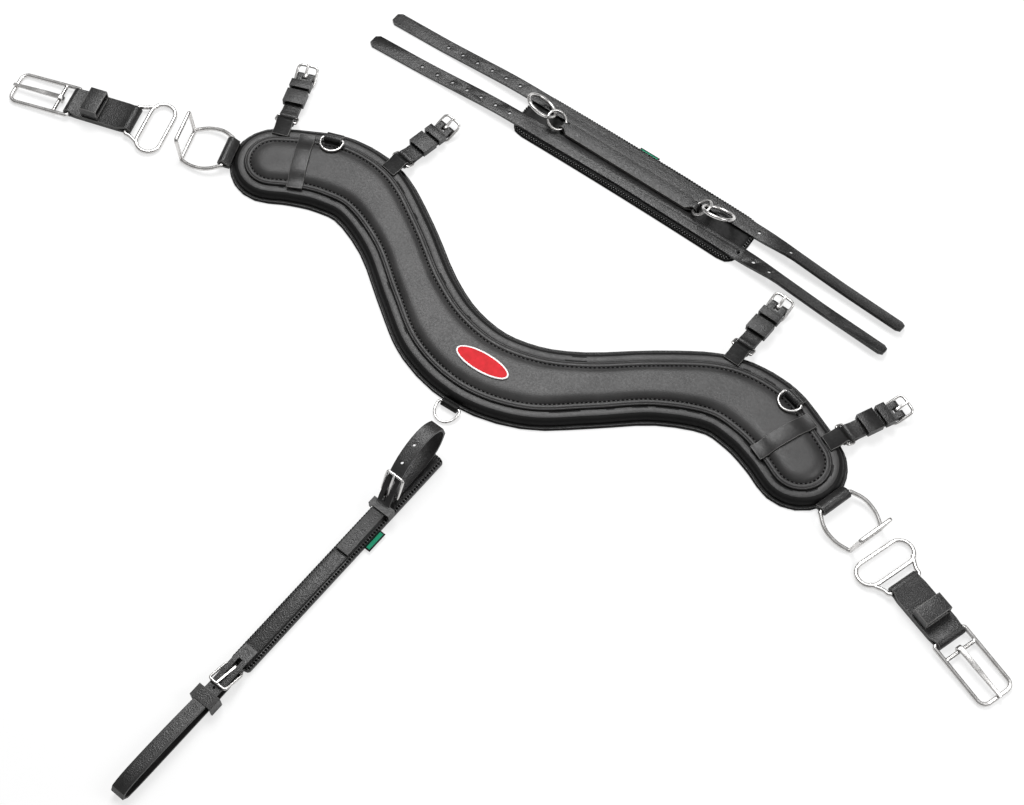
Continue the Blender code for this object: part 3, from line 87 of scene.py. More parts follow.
# Profiles of padded edges: (inset, height) in millimetres, from the bottom up
LIP_LEVELS = (
    (0.9, 0), (0.3, 0.35), (0.0, 1.0), (0.0, 1.9), (0.3, 2.7), (0.9, 3.2), (1.7, 3.35), (2.6, 3.15),
    (3.2, 3.0), (6, 3.0),
)
FACE_EDGE_LEVELS = (
    (0, -2.6), (0, -0.9), (0.15, -0.4), (0.5, -0.08), (1.0, 0), (1.5, -0.02), (1.85, -0.4), (2.2, -0.02),
    (3.0, 0.3), (4.4, 0.4), (5.6, 0.2), (6.1, -0.35), (6.4, -0.7), (7.2, -0.75), (7.6, -0.35), (8, 0.1),
)
NECK_PAD_LEVELS = (
    (-3.9, 0), (-4.8, 0.4), (-5.0, 1.0), (-4.7, 1.7), (-3.7, 1.9), (-3.5, 2.4), (-3.8, 3.2), (-3.4, 4.3),
    (-2.3, 5.4), (-0.8, 6.3), (0.6, 6.9), (2.4, 7.1), (5, 7.1),
)
# Heights above which up-facing faces get a lighter leather: painted light on the tops of the lip and the roll
LIP_LIT_TOP_HEIGHT = 2.6 * MM
ROLL_LIT_TOP_HEIGHT = ROLL_BASE + ROLL_HEIGHT * 0.955

# Hardware
HEAVY_WIRE = 2.5 * MM
ARM_WIRE = 2.4 * MM
BAR_WIRE = 2.2 * MM
RING_WIRE = 2.1 * MM
LIGHT_WIRE = 1.6 * MM
LIGHT_SWELL_SHARE = 0.2
RING_SWELL_SHARE = 0.108
SLOT_NEAR = 16.5 * MM
SLOT_FAR = 45.5 * MM
SLOT_HALF_LENGTH = 35 * MM
SLOT_ROUND = 14.4 * MM
SLOT_REACH = SLOT_FAR + HEAVY_WIRE
SLOT_ARM_ROOT = (21 * MM, 29 * MM)
SLOT_ARM_BEND = (7 * MM, 21.6 * MM)
SLOT_BAR_HALF_WIDTH = 21.1 * MM
SLOT_ARM_ROUND = 9 * MM
SLOT_BAR_ROUND = 3 * MM
TRACE_DEE_HALF_WIDTH = 29.5 * MM
TRACE_DEE_DEPTH = 51.5 * MM
TRACE_DEE_SHARES = ((0, 0.70), (0.32, 1), (0.70, 0.98), (1, 0.76))
TRACE_DEE_ROUNDS = [4 * MM, 60 * MM, 60 * MM, 3 * MM]
HOOK_HALF_WIDTH = 21 * MM
HOOK_HEIGHT = 36.5 * MM
HOOK_ROUND = 2 * MM
HOOK_LEAN = {"left": -4 * MM, "right": 2 * MM}
TRACE_BUCKLE_HALF_WIDTH = 20.5 * MM
TRACE_BUCKLE_LENGTH = 77.5 * MM
TRACE_BUCKLE_ROUNDS = [2.7 * MM, 9 * MM, 9 * MM, 2.7 * MM]
TONGUE_BAR_PLACE = 18.5 * MM
TONGUE_BAR_FOOT = 7 * MM
TONGUE_BAR_FILLET = 6 * MM

# Badge
BADGE_SIDES = 64
BADGE_RIM_EDGE = 0.35 * MM
BADGE_RIM_RISE = 0.2 * MM
BADGE_RIM_WIDTH = 1.5 * MM
BADGE_RIM_SLOPE = 0.15 * MM
BADGE_RIM_DROP = 0.3 * MM
BADGE_FIELD_INSET = 1.9 * MM
BADGE_DOME = ((0.5, 0.15), (2, 0.2), (3, 0.1))

# Seams and tapes
PAD_SEAM_HEIGHT = 3.5 * MM
SEAM_PITCH = 3.6 * MM
NECK_SEAM_INSET = -2.2 * MM
MARTINGALE_SEAM_INSET = 1.9 * MM
MARTINGALE_EDGE = 1.2 * MM
KEEPER_EDGE = 0.9 * MM
NECK_TAG_PLACE = (5 * MM, 356 * MM)
NECK_TAG_LENGTH = 27 * MM
MARTINGALE_TAG_PLACE = (18.8 * MM, -228 * MM)
MARTINGALE_TAG_LENGTH = 26 * MM
TAG_WIDTH = 7 * MM
TAG_TUCK = 4 * MM
TAG_THICKNESS = 1.1 * MM
TAG_EDGE = 0.3 * MM
TAG_HEIGHT = 3.4 * MM
TAPE_LENGTH_SHARE = 0.86
TAPE_WIDTH_SHARE = 0.62
TAPE_THICKNESS = 0.5 * MM
TAPE_OFFSET = (0, -1.7 * MM, 0.7 * MM)

# Studio
FLOOR_HALF_SIZE = 1.5
FLOOR_DROP = 0.2 * MM
FLOOR_TONE = 0.93
FLOOR_IN_METAL_SHARE = 0.35
FLOOR_SEEN_SHARE = 0.68
SKY_RAMP = ((0.06, 0.06), (0.75, 0.5))
SKY_STRENGTH = 0.9
SOFTBOXES = (
    ("back_softbox", (-0.75, 1.1, 2.4), 1.5, 70),
    ("side_softbox", (1.7, 0.6, 1.6), 1.0, 18),
)
CAMERA_PLACE = (0.5981, -0.8246, 1.8454)
CAMERA_AIM = Vector((0.0530, -0.0086, 0))
CAMERA_LENS = 66.8
CAMERA_SENSOR = 36


# Materials

def wire_up(tree, kind, inputs=None, **settings):
    """A shader node with its settings, and its inputs set or linked by name."""
    made = tree.nodes.new(kind)
    for name, value in settings.items():
        setattr(made, name, value)
    for name, value in (inputs or {}).items():
        if isinstance(value, bpy.types.NodeSocket):
            tree.links.new(value, made.inputs[name])
        else:
            made.inputs[name].default_value = value
    return made


def new_material(name, roughness, metallic=0.0):
    material = bpy.data.materials.new(name)
    material.use_nodes = True
    shader = material.node_tree.nodes["Principled BSDF"]
    shader.inputs["Roughness"].default_value = roughness
    shader.inputs["Metallic"].default_value = metallic
    return material, material.node_tree, shader


def between(tree, factor, low, high):
    """A colour that runs from low to high as factor goes from 0 to 1."""
    ramp = wire_up(tree, "ShaderNodeValToRGB", {"Fac": factor})
    ramp.color_ramp.elements[0].color = (*low, 1)
    ramp.color_ramp.elements[1].color = (*high, 1)
    ramp.color_ramp.elements[0].position = 0.3
    ramp.color_ramp.elements[1].position = 0.7
    return ramp.outputs["Color"]


def scaled_range(tree, value, low, high):
    """A value's middle range spread from low to high."""
    spread = wire_up(tree, "ShaderNodeMapRange", {"Value": value, "From Min": 0.3, "From Max": 0.7})
    spread.inputs["To Min"].default_value = low
    spread.inputs["To Max"].default_value = high
    return spread.outputs["Result"]


def leather(name, dark, light, rough, grain_size, grain_depth, crease_depth, dressing=0.3):
    """Dyed leather: pebbled grain, longer creases, and an uneven dressing that changes tone and gloss."""
    material, tree, shader = new_material(name, sum(rough) / 2)
    shader.inputs["Specular IOR Level"].default_value = dressing
    place = wire_up(tree, "ShaderNodeTexCoord").outputs["Object"]
    mottle = wire_up(
        tree, "ShaderNodeTexNoise", {"Vector": place, "Scale": 22, "Detail": 4, "Roughness": 0.6}
    )
    pebble = wire_up(tree, "ShaderNodeTexVoronoi", {"Vector": place, "Scale": 1 / grain_size})
    crease = wire_up(tree, "ShaderNodeTexNoise", {"Vector": place, "Scale": 0.12 / grain_size, "Detail": 6})
    fine = wire_up(tree, "ShaderNodeTexNoise", {"Vector": place, "Scale": 0.35 / grain_size, "Detail": 3})
    tree.links.new(between(tree, mottle.outputs["Fac"], dark, light), shader.inputs["Base Color"])
    tree.links.new(scaled_range(tree, fine.outputs["Fac"], *rough), shader.inputs["Roughness"])
    crease_bump = wire_up(tree, "ShaderNodeBump", {"Height": crease.outputs["Fac"], "Distance": crease_depth})
    pebble_bump = wire_up(tree, "ShaderNodeBump", {
        "Height": pebble.outputs["Distance"], "Distance": grain_depth,
        "Normal": crease_bump.outputs["Normal"],
    })
    tree.links.new(pebble_bump.outputs["Normal"], shader.inputs["Normal"])
    return material


def polished(name, dark, light, rough):
    """Polished metal with fine rub marks and a little unevenness from casting."""
    material, tree, shader = new_material(name, sum(rough) / 2, 1.0)
    place = wire_up(tree, "ShaderNodeTexCoord").outputs["Object"]
    cloud = wire_up(tree, "ShaderNodeTexNoise", {"Vector": place, "Scale": 90, "Detail": 3})
    rubs = wire_up(tree, "ShaderNodeTexNoise", {"Vector": place, "Scale": 1400, "Detail": 2})
    tree.links.new(between(tree, cloud.outputs["Fac"], dark, light), shader.inputs["Base Color"])
    tree.links.new(scaled_range(tree, cloud.outputs["Fac"], *rough), shader.inputs["Roughness"])
    bump = wire_up(tree, "ShaderNodeBump", {"Height": rubs.outputs["Fac"], "Distance": 0.003 * MM})
    tree.links.new(bump.outputs["Normal"], shader.inputs["Normal"])
    return material


def enamel(name, dark, light, roughness, gloss):
    """Glossy enamel with a faint orange-peel surface."""
    material, tree, shader = new_material(name, roughness)
    shader.inputs["Specular IOR Level"].default_value = gloss
    place = wire_up(tree, "ShaderNodeTexCoord").outputs["Object"]
    cloud = wire_up(tree, "ShaderNodeTexNoise", {"Vector": place, "Scale": 160, "Detail": 2})
    tree.links.new(between(tree, cloud.outputs["Fac"], dark, light), shader.inputs["Base Color"])
    bump = wire_up(tree, "ShaderNodeBump", {"Height": cloud.outputs["Fac"], "Distance": 0.03 * MM})
    tree.links.new(bump.outputs["Normal"], shader.inputs["Normal"])
    return material


def woven(name, dark, light, thread):
    """Woven tape: a fine weave in colour and relief."""
    material, tree, shader = new_material(name, 0.8)
    place = wire_up(tree, "ShaderNodeTexCoord").outputs["Object"]
    across = wire_up(tree, "ShaderNodeTexWave", {"Vector": place, "Scale": 0.5 / thread}, bands_direction="X")
    along = wire_up(tree, "ShaderNodeTexWave", {"Vector": place, "Scale": 0.5 / thread}, bands_direction="Y")
    weave = wire_up(
        tree, "ShaderNodeMath", {0: across.outputs["Fac"], 1: along.outputs["Fac"]}, operation="MULTIPLY"
    )
    tree.links.new(between(tree, weave.outputs["Value"], dark, light), shader.inputs["Base Color"])
    bump = wire_up(tree, "ShaderNodeBump", {"Height": weave.outputs["Value"], "Distance": 0.1 * MM})
    tree.links.new(bump.outputs["Normal"], shader.inputs["Normal"])
    return material


FACE_LEATHER = leather(
    "face_leather", (0.020, 0.0195, 0.0195), (0.038, 0.037, 0.037), rough=(0.36, 0.5),
    grain_size=0.8 * MM, grain_depth=0.05 * MM, crease_depth=0.09 * MM, dressing=0.34,
)
# Black leather made darker than the face leather: on the roll's slopes and the lip's groove this darkness is
# painted shade, set against the lighter tops; the lining, tug tabs, neck pad and tags also take it
ROLL_LEATHER = leather(
    "roll_leather", (0.003, 0.003, 0.003), (0.006, 0.0058, 0.0058), rough=(0.46, 0.6),
    grain_size=0.9 * MM, grain_depth=0.06 * MM, crease_depth=0.15 * MM, dressing=0.16,
)
STRAP_LEATHER = leather(
    "strap_leather", (0.007, 0.007, 0.007), (0.018, 0.0175, 0.0175), rough=(0.28, 0.46),
    grain_size=1.3 * MM, grain_depth=0.24 * MM, crease_depth=0.36 * MM, dressing=0.42,
)
CROSS_LEATHER = leather(
    "cross_strap_leather", (0.014, 0.0138, 0.0136), (0.026, 0.025, 0.025), rough=(0.3, 0.42),
    grain_size=0.9 * MM, grain_depth=0.06 * MM, crease_depth=0.15 * MM,
)
# Lighter leather for the rounded-over edges of straps: a painted highlight where the edges catch the light
EDGE_HIGHLIGHT_LEATHER = leather(
    "edge_painted_highlight", (0.08, 0.078, 0.076), (0.15, 0.147, 0.144), rough=(0.3, 0.42),
    grain_size=0.6 * MM, grain_depth=0.04 * MM, crease_depth=0.08 * MM,
)
# Black waxed thread, set near black so that it also carries the painted shade of the sunken stitch holes
THREAD = leather(
    "waxed_thread", (0.0006, 0.0006, 0.0006), (0.002, 0.002, 0.002), rough=(0.8, 0.95),
    grain_size=0.4 * MM, grain_depth=0.05 * MM, crease_depth=0.05 * MM, dressing=0.1,
)
PALE_THREAD = leather(
    "grey_thread", (0.12, 0.12, 0.12), (0.24, 0.24, 0.24), rough=(0.6, 0.8),
    grain_size=0.4 * MM, grain_depth=0.05 * MM, crease_depth=0.05 * MM,
)
STEEL = polished("polished_steel_wire", (0.54, 0.53, 0.52), (0.70, 0.69, 0.68), rough=(0.24, 0.34))
RED = enamel("badge_red", (0.50, 0.003, 0.008), (0.64, 0.006, 0.016), roughness=0.5, gloss=0.15)
WHITE = enamel("badge_white", (0.78, 0.77, 0.77), (0.86, 0.85, 0.85), roughness=0.35, gloss=0.3)
GREEN = woven("green_tape", (0.0, 0.20, 0.10), (0.01, 0.42, 0.23), 0.5 * MM)


# Making pieces

def show(name, bm, material, body, stands_for=(), smooth_deg=38, levels=0, edge=None):
    """A finished piece that rides on a body and stands for its nodes."""
    mesh = bpy.data.meshes.new(name)
    bm.to_mesh(mesh)
    bm.free()
    mesh.shade_smooth()
    mesh.set_sharp_from_angle(angle=math.radians(smooth_deg))
    mesh.materials.append(material)
    if edge:
        mesh.materials.append(edge)
    made = bpy.data.objects.new(name, mesh)
    bpy.context.scene.collection.objects.link(made)
    if levels:
        smooth = made.modifiers.new("Subdivision", "SUBSURF")
        smooth.levels = levels
        smooth.render_levels = levels
    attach(made, body)
    if stands_for:
        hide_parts(*stands_for)
    return made


def copy_of(node):
    """The node's mesh with its loose triangles merged."""
    bm = bmesh.new()
    bm.from_mesh(frame["nodes"][node].data)
    bmesh.ops.remove_doubles(bm, verts=bm.verts, dist=0.003 * MM)
    return bm


def cut_leather(
    node, material=STRAP_LEATHER, edge=0.55 * MM, levels=0, rim=EDGE_HIGHLIGHT_LEATHER,
):
    """A leather piece in the node's shape with its edges rounded over and given the lighter rim leather as a
    painted highlight, and its bends smoothed by levels.
    """
    bm = copy_of(node)
    if levels:
        bmesh.ops.join_triangles(
            bm, faces=bm.faces, angle_face_threshold=math.radians(20), angle_shape_threshold=math.radians(70),
        )
    else:
        bmesh.ops.dissolve_limit(bm, angle_limit=math.radians(1), verts=bm.verts, edges=bm.edges)
    sharp = [one for one in bm.edges if one.is_manifold and one.calc_face_angle() > math.radians(38)]
    rounded_over = bmesh.ops.bevel(
        bm, geom=sharp, offset=edge, offset_type="OFFSET", affect="EDGES", segments=3, profile=0.5,
        clamp_overlap=True, material=-1,
    )["faces"]
    # the rounded-over edges take the rim leather, lighter than the body: a painted highlight along the edges
    for face in rounded_over:
        face.material_index = 1
    return show(
        f"{node}_leather", bm, material, body_of_node[node], [node], levels=levels, edge=rim,
    )


def bent_wire(node, radius=LIGHT_WIRE, swell_share=LIGHT_SWELL_SHARE):
    """A wire piece in the node's shape, swollen a little and then subdivided back to its round section."""
    bm = copy_of(node)
    bmesh.ops.join_triangles(
        bm, faces=bm.faces, angle_face_threshold=math.radians(50), angle_shape_threshold=math.radians(50),
    )
    bm.normal_update()
    for vert in bm.verts:
        vert.co += vert.normal * radius * swell_share
    return show(f"{node}_wire", bm, STEEL, body_of_node[node], [node], 180, levels=2)


def lying_frame(node, reach):
    """Frame on a heavy wire node's hinge: Y along it, and X out to a far bar that lies on the floor."""
    joint = hinge_of[body_of_node[node]]
    origin = Vector(joint["pos_m"])
    axis = Vector(joint["axis"])
    low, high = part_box(node)
    out = Vector((axis.y, -axis.x, 0))
    if out.dot((low + high) / 2 - origin) < 0:
        out.negate()
    heading = math.atan2(out.y, out.x)
    drop = math.asin((origin.z - HEAVY_WIRE - FLOOR_GAP) / reach)
    turned = Matrix.Rotation(heading, 4, "Z") @ Matrix.Rotation(drop, 4, "Y")
    return Matrix.Translation(origin) @ turned


def rounded(corners, rounds, steps=8, closed=True):
    """Outline with each corner replaced by an arc of its own radius."""
    points = []
    last = len(corners) - 1
    for index, corner in enumerate(corners):
        corner = Vector(corner)
        if not closed and index in (0, last):
            points.append(corner)
            continue
        back = Vector(corners[index - 1]) - corner
        ahead = Vector(corners[(index + 1) % len(corners)]) - corner
        turn = back.angle(ahead)
        reach = min(rounds[index] / math.tan(turn / 2), back.length * 0.49, ahead.length * 0.49)
        start = corner + back.normalized() * reach
        end = corner + ahead.normalized() * reach
        pull = 4 / 3 * math.tan((math.pi - turn) / 4) * reach * math.tan(turn / 2)
        inward = corner - start
        outward = corner - end
        points.extend(geometry.interpolate_bezier(
            start, start + inward.normalized() * pull, end + outward.normalized() * pull, end, steps
        ))
    return points


def tube(bm, points, radius, closed, frame_matrix, sides=14):
    """Round bar along points, added in a frame."""
    curve = bpy.data.curves.new("bar", "CURVE")
    curve.dimensions = "3D"
    curve.bevel_depth = radius
    curve.bevel_resolution = sides // 2 - 2
    curve.use_fill_caps = not closed
    spline = curve.splines.new("POLY")
    spline.points.add(len(points) - 1)
    for knot, point in zip(spline.points, points):
        knot.co = (*point, 1)
    spline.use_cyclic_u = closed
    holder = bpy.data.objects.new("bar", curve)
    bpy.context.scene.collection.objects.link(holder)
    mesh = bpy.data.meshes.new_from_object(holder)
    mesh.transform(frame_matrix)
    bm.from_mesh(mesh)
    bpy.data.objects.remove(holder)
    bpy.data.curves.remove(curve)
    bpy.data.meshes.remove(mesh)


def flat(points, height=0):
    return [Vector((point[0], point[1], height)) for point in points]


def forged(node, bm):
    """A forged steel piece made of bars."""
    return show(f"{node}_forged", bm, STEEL, body_of_node[node], [node], 60)


def slot_loop(node, place):
    """Loop with a long slot across it and two arms to the strap bar."""
    bm = bmesh.new()
    half = SLOT_HALF_LENGTH
    corners = [(SLOT_NEAR, -half), (SLOT_FAR, -half), (SLOT_FAR, half), (SLOT_NEAR, half)]
    tube(bm, flat(rounded(corners, [SLOT_ROUND] * 4, 14)), HEAVY_WIRE, True, place)
    upper = [(0, SLOT_BAR_HALF_WIDTH), SLOT_ARM_BEND, SLOT_ARM_ROOT]
    lower = [(out, -across) for out, across in reversed(upper)]
    rounds = [SLOT_BAR_ROUND, SLOT_ARM_ROUND, 0]
    tube(bm, flat(rounded(lower + upper, rounds[::-1] + rounds, 8, False)), ARM_WIRE, False, place)
    forged(node, bm)


def trace_dee(node, place, lean):
    """Large dee with the hook frame standing on its outer bar."""
    bm = bmesh.new()
    depth = TRACE_DEE_DEPTH
    right = [(out * depth, -across * TRACE_DEE_HALF_WIDTH) for out, across in TRACE_DEE_SHARES]
    left = [(out, -across) for out, across in reversed(right)]
    rounds = TRACE_DEE_ROUNDS + TRACE_DEE_ROUNDS[::-1]
    tube(bm, flat(rounded(right + left, rounds, 10)), HEAVY_WIRE, True, place)
    half = HOOK_HALF_WIDTH
    corners = [(-half, 0), (-half, HOOK_HEIGHT), (half, HOOK_HEIGHT), (half, 0)]
    outline = rounded(corners, [HOOK_ROUND] * 4, 6, False)
    upright = [Vector((depth + up * lean / HOOK_HEIGHT, y, up)) for y, up in outline]
    tube(bm, upright, ARM_WIRE, False, place)
    forged(node, bm)


def trace_buckle(node, place):
    """Frame with a strap end, a tongue bar let in with round fillets, and a large window."""
    bm = bmesh.new()
    half = TRACE_BUCKLE_HALF_WIDTH
    corners = [(0, -half), (TRACE_BUCKLE_LENGTH, -half), (TRACE_BUCKLE_LENGTH, half), (0, half)]
    tube(bm, flat(rounded(corners, TRACE_BUCKLE_ROUNDS, 10)), HEAVY_WIRE, True, place)
    bar = TONGUE_BAR_PLACE
    for foot in (bar - TONGUE_BAR_FOOT, bar + TONGUE_BAR_FOOT):
        fillet = [(foot, -half), (bar, -half), (bar, half), (foot, half)]
        rounds = [0, TONGUE_BAR_FILLET, TONGUE_BAR_FILLET, 0]
        tube(bm, flat(rounded(fillet, rounds, 8, False)), BAR_WIRE, False, place)
    forged(node, bm)


def filed_tongue(node):
    """A buckle tongue with its edges filed round."""
    bm = copy_of(node)
    bmesh.ops.dissolve_limit(bm, angle_limit=math.radians(1), verts=bm.verts, edges=bm.edges)
    sharp = [one for one in bm.edges if one.is_manifold and one.calc_face_angle() > math.radians(45)]
    bmesh.ops.bevel(
        bm, geom=sharp, offset=0.6 * MM, offset_type="OFFSET", affect="EDGES", segments=3, profile=0.5,
        clamp_overlap=True, material=-1,
    )
    return show(f"{node}_steel", bm, STEEL, body_of_node[node], [node], 50)


# Outlines

def smooth_line(points, steps):
    """Points on a smooth curve through the given ones."""
    ends = [2 * points[0] - points[1], *points, 2 * points[-1] - points[-2]]
    line = [points[0]]
    for before, start, end, after in zip(ends, ends[1:], ends[2:], ends[3:]):
        first_handle = start + (end - before) / 6
        last_handle = end - (after - start) / 6
        line.extend(geometry.interpolate_bezier(start, first_handle, last_handle, end, steps + 1)[1:])
    return line


def band_outline(stations, inset=0, squeeze=1, cap_steps=16, cap_depth=None, cap_power=1):
    """Outline of a band from (centre, side, half width) stations, drawn in by inset, with round ends."""
    reaches = [(half - inset) * squeeze for _, _, half in stations]
    upper = [centre + side * reach for (centre, side, _), reach in zip(stations, reaches)]
    lower = [centre - side * reach for (centre, side, _), reach in zip(stations, reaches)]
    caps = []
    for index, turn in ((-1, 1), (0, -1)):
        centre, side, _ = stations[index]
        reach = reaches[index]
        depth = reach if cap_depth is None else (cap_depth - inset) * squeeze
        out = Vector((side.y, -side.x)) * turn
        cap = []
        for step in range(1, cap_steps):
            angle = math.pi * (0.5 - step / cap_steps)
            rise = math.copysign(abs(math.sin(angle)) ** cap_power, angle)
            cap.append(centre + side * turn * reach * rise + out * depth * math.cos(angle) ** cap_power)
        caps.append(cap)
    return upper + caps[0] + lower[::-1] + caps[1]


def by_place(verts):
    """The vertices in an order that only their places set, so that each run gives the same."""
    return sorted(verts, key=lambda vert: vert.co.to_tuple(6))


def section_ring(node, height):
    """The node's outline where a level plane cuts it, as a ring of flat points."""
    bm = copy_of(node)
    bmesh.ops.bisect_plane(
        bm, geom=bm.verts[:] + bm.edges[:] + bm.faces[:], dist=0.001 * MM, plane_co=(0, 0, height),
        plane_no=(0, 0, 1), clear_inner=True, clear_outer=True,
    )
    bmesh.ops.remove_doubles(bm, verts=bm.verts, dist=0.01 * MM)
    left = by_place(bm.verts)
    rings = []
    while left:
        vert = left[0]
        ring = []
        while vert:
            left.remove(vert)
            ring.append(vert.co.to_2d())
            beside = by_place(edge.other_vert(vert) for edge in vert.link_edges)
            vert = next((one for one in beside if one in left), None)
        rings.append(ring)
    bm.free()
    ring = max(rings, key=len)
    area = sum(start.cross(end) for start, end in zip(ring, ring[1:] + ring[:1]))
    return ring if area > 0 else ring[::-1]


def drawn_in(ring, inset):
    """A ring of flat points, anticlockwise, moved inwards."""
    moved = []
    for before, point, after in zip(ring[-1:] + ring[:-1], ring, ring[1:] + ring[:1]):
        run = (after - before).normalized()
        moved.append(point + Vector((-run.y, run.x)) * inset)
    return moved


def collar_stations(steps=8):
    """Centre, upward side direction and half width at each station of the collar."""
    half = [
        Vector((x * COLLAR_HALF_LENGTH, y * COLLAR_RISE, width * COLLAR_WIDTH / 2))
        for (x, y), width in zip(COLLAR_LINE_SHARES, COLLAR_WIDTH_SHARES)
    ]
    mirrored = [Vector((-point.x, point.y, point.z)) for point in reversed(half[1:])]
    line = smooth_line(mirrored + half, steps)
    stations = []
    for index, point in enumerate(line):
        before = line[max(index - 1, 0)]
        after = line[min(index + 1, len(line) - 1)]
        run = (after - before).to_2d().normalized()
        stations.append((point.to_2d(), Vector((-run.y, run.x)), point.z))
    return stations


def shell(outlines, closed_top=True):
    """A closed form drawn up through outlines of equal count, each a list of (x, y, z) points."""
    bm = bmesh.new()
    ring = bmesh.ops.create_circle(bm, cap_ends=False, radius=1, segments=len(outlines[0]))["verts"]
    for vert, point in zip(ring, outlines[0]):
        vert.co = point
    base_edges = list(bm.edges)
    edges = base_edges
    for outline in outlines[1:]:
        drawn = bmesh.ops.extrude_edge_only(bm, edges=edges)["geom"]
        drawn_at = {vert.co.to_tuple(): vert for vert in drawn if isinstance(vert, bmesh.types.BMVert)}
        ring = [drawn_at[vert.co.to_tuple()] for vert in ring]
        for vert, point in zip(ring, outline):
            vert.co = point
        edges = [one for one in drawn if isinstance(one, bmesh.types.BMEdge)]
    bmesh.ops.triangle_fill(bm, edges=base_edges, use_beauty=True)
    if closed_top:
        bmesh.ops.triangle_fill(bm, edges=edges, use_beauty=True)
    bmesh.ops.recalc_face_normals(bm, faces=bm.faces)
    return bm


def lifted(outline, height):
    return [Vector((point[0], point[1], height)) for point in outline]


def hand_worked(bm, size, depth, above):
    """Slight unevenness of leather that was stretched and sewn by hand, above a height."""
    bm.normal_update()
    moves = {vert: noise.noise(vert.co / size) * depth for vert in bm.verts if vert.co.z > above}
    for vert, move in moves.items():
        vert.co += vert.normal * move


def paint_lit_tops(bm, above, upright):
    """Faces that look up, above a height, get the piece's second, lighter leather: painted light on the tops,
    where the light falls.
    """
    bm.normal_update()
    for face in bm.faces:
        if face.normal.z > upright and face.calc_center_median().z > above:
            face.material_index = 1


# Stitching

def surface_below(*pieces):
    """A tree of the pieces' finished faces, for setting stitches on them."""
    depsgraph = bpy.context.evaluated_depsgraph_get()
    bm = bmesh.new()
    for one in pieces:
        bm.from_object(one, depsgraph)
    tree = BVHTree.FromBMesh(bm)
    bm.free()
    return tree


def stitch_line(
    bm, tree, points, pitch=5 * MM, length=3.8 * MM, width=2.3 * MM, closed=False, sink=0.15 * MM,
):
    """Stitches laid along flat points, each seated on the surface under it."""
    path = list(points)
    if closed:
        path.append(path[0])
    total = sum((Vector(b[:2]) - Vector(a[:2])).length for a, b in zip(path, path[1:]))
    count = max(int(total / pitch), 1)
    spacing = total / count
    wanted = spacing / 2
    travelled = 0
    for start, end in zip(path, path[1:]):
        start = Vector(start[:2])
        run = Vector(end[:2]) - start
        while run.length > 0 and wanted <= travelled + run.length:
            spot = start + run * ((wanted - travelled) / run.length)
            hit, normal, _, _ = tree.ray_cast(Vector((spot.x, spot.y, 0.2)), Vector((0, 0, -1)))
            if hit and hit.z > 0.0005:
                along = Vector((run.x, run.y, 0)).normalized()
                along = (along - normal * along.dot(normal)).normalized()
                turned = Matrix((along, normal.cross(along), normal)).transposed().to_4x4()
                size = Matrix.Diagonal((length / 2, width / 2, width * 0.42, 1))
                place = Matrix.Translation(hit - normal * sink) @ turned @ size
                bmesh.ops.create_uvsphere(bm, u_segments=6, v_segments=4, radius=1, matrix=place)
            wanted += spacing
        travelled += run.length


def sewn(name, body, tree, runs, thread=THREAD, **settings):
    """All the stitches of one piece, as one piece of thread."""
    bm = bmesh.new()
    for points, closed in runs:
        stitch_line(bm, tree, points, closed=closed, **settings)
    return show(name, bm, thread, body, smooth_deg=180)


# Breast collar

stations = collar_stations()


def collar_outline(inset, squeeze=1):
    return band_outline(stations, inset, squeeze)


def collar_lip():
    """The lining's lip, with painted light on its rim: the faces that look up get the lighter strap leather."""
    bm = shell([lifted(collar_outline(inset * MM), height * MM) for inset, height in LIP_LEVELS])
    # painted light: the lip's up-facing faces take the lighter second leather
    paint_lit_tops(bm, LIP_LIT_TOP_HEIGHT, 0.85)
    show("collar_lip", bm, ROLL_LEATHER, "collar", smooth_deg=60, edge=STRAP_LEATHER)


def collar_roll():
    """The padded roll round the collar, with painted light along its top: the faces that look up get the lighter
    face leather.
    """
    bm = shell([
        lifted(collar_outline(LIP_WIDTH + across * ROLL_WIDTH), ROLL_BASE + up * ROLL_HEIGHT)
        for across, up in ROLL_SHARES
    ])
    hand_worked(bm, 16 * MM, 0.35 * MM, ROLL_BASE + 2 * MM)
    # painted light: the roll's up-facing faces take the lighter face leather
    paint_lit_tops(bm, ROLL_LIT_TOP_HEIGHT, 0.9)
    padding = show(
        "collar_roll", bm, ROLL_LEATHER, "collar", ["collar_padding"], smooth_deg=60, edge=FACE_LEATHER
    )


def collar_panel():
    """The raised face: a folded edge, the sewn channel and the crown inside it."""
    outlines = [
        lifted(collar_outline(FACE_INSET + inset * MM), FACE_EDGE_TOP + height * MM)
        for inset, height in FACE_EDGE_LEVELS
    ]
    for step in range(1, CROWN_STEPS + 1):
        squeeze = 1 - step / CROWN_STEPS * CROWN_DRAW_SHARE
        height = FACE_EDGE_TOP + FACE_CROWN * (1 - squeeze ** CROWN_POWER)
        outlines.append(lifted(collar_outline(CROWN_INSET, squeeze), height))
    bm = shell(outlines)
    hand_worked(bm, 45 * MM, 0.5 * MM, FACE_EDGE_TOP + 0.5 * MM)
    face = show("collar_panel", bm, FACE_LEATHER, "collar", ["collar_face"], smooth_deg=60)
    channel = collar_outline(FACE_INSET + STITCH_CHANNEL)
    sewn("collar_stitching", "collar", surface_below(face), [(channel, True)])


collar_lip()
collar_roll()
collar_panel()


# Badge, left plain

def oval(half_long, half_wide, place):
    """A flat oval with one face."""
    bm = bmesh.new()
    bmesh.ops.create_circle(bm, cap_ends=True, radius=1, segments=BADGE_SIDES)
    bmesh.ops.scale(bm, vec=(half_long, half_wide, 1), verts=bm.verts)
    bmesh.ops.translate(bm, vec=place, verts=bm.verts)
    return bm


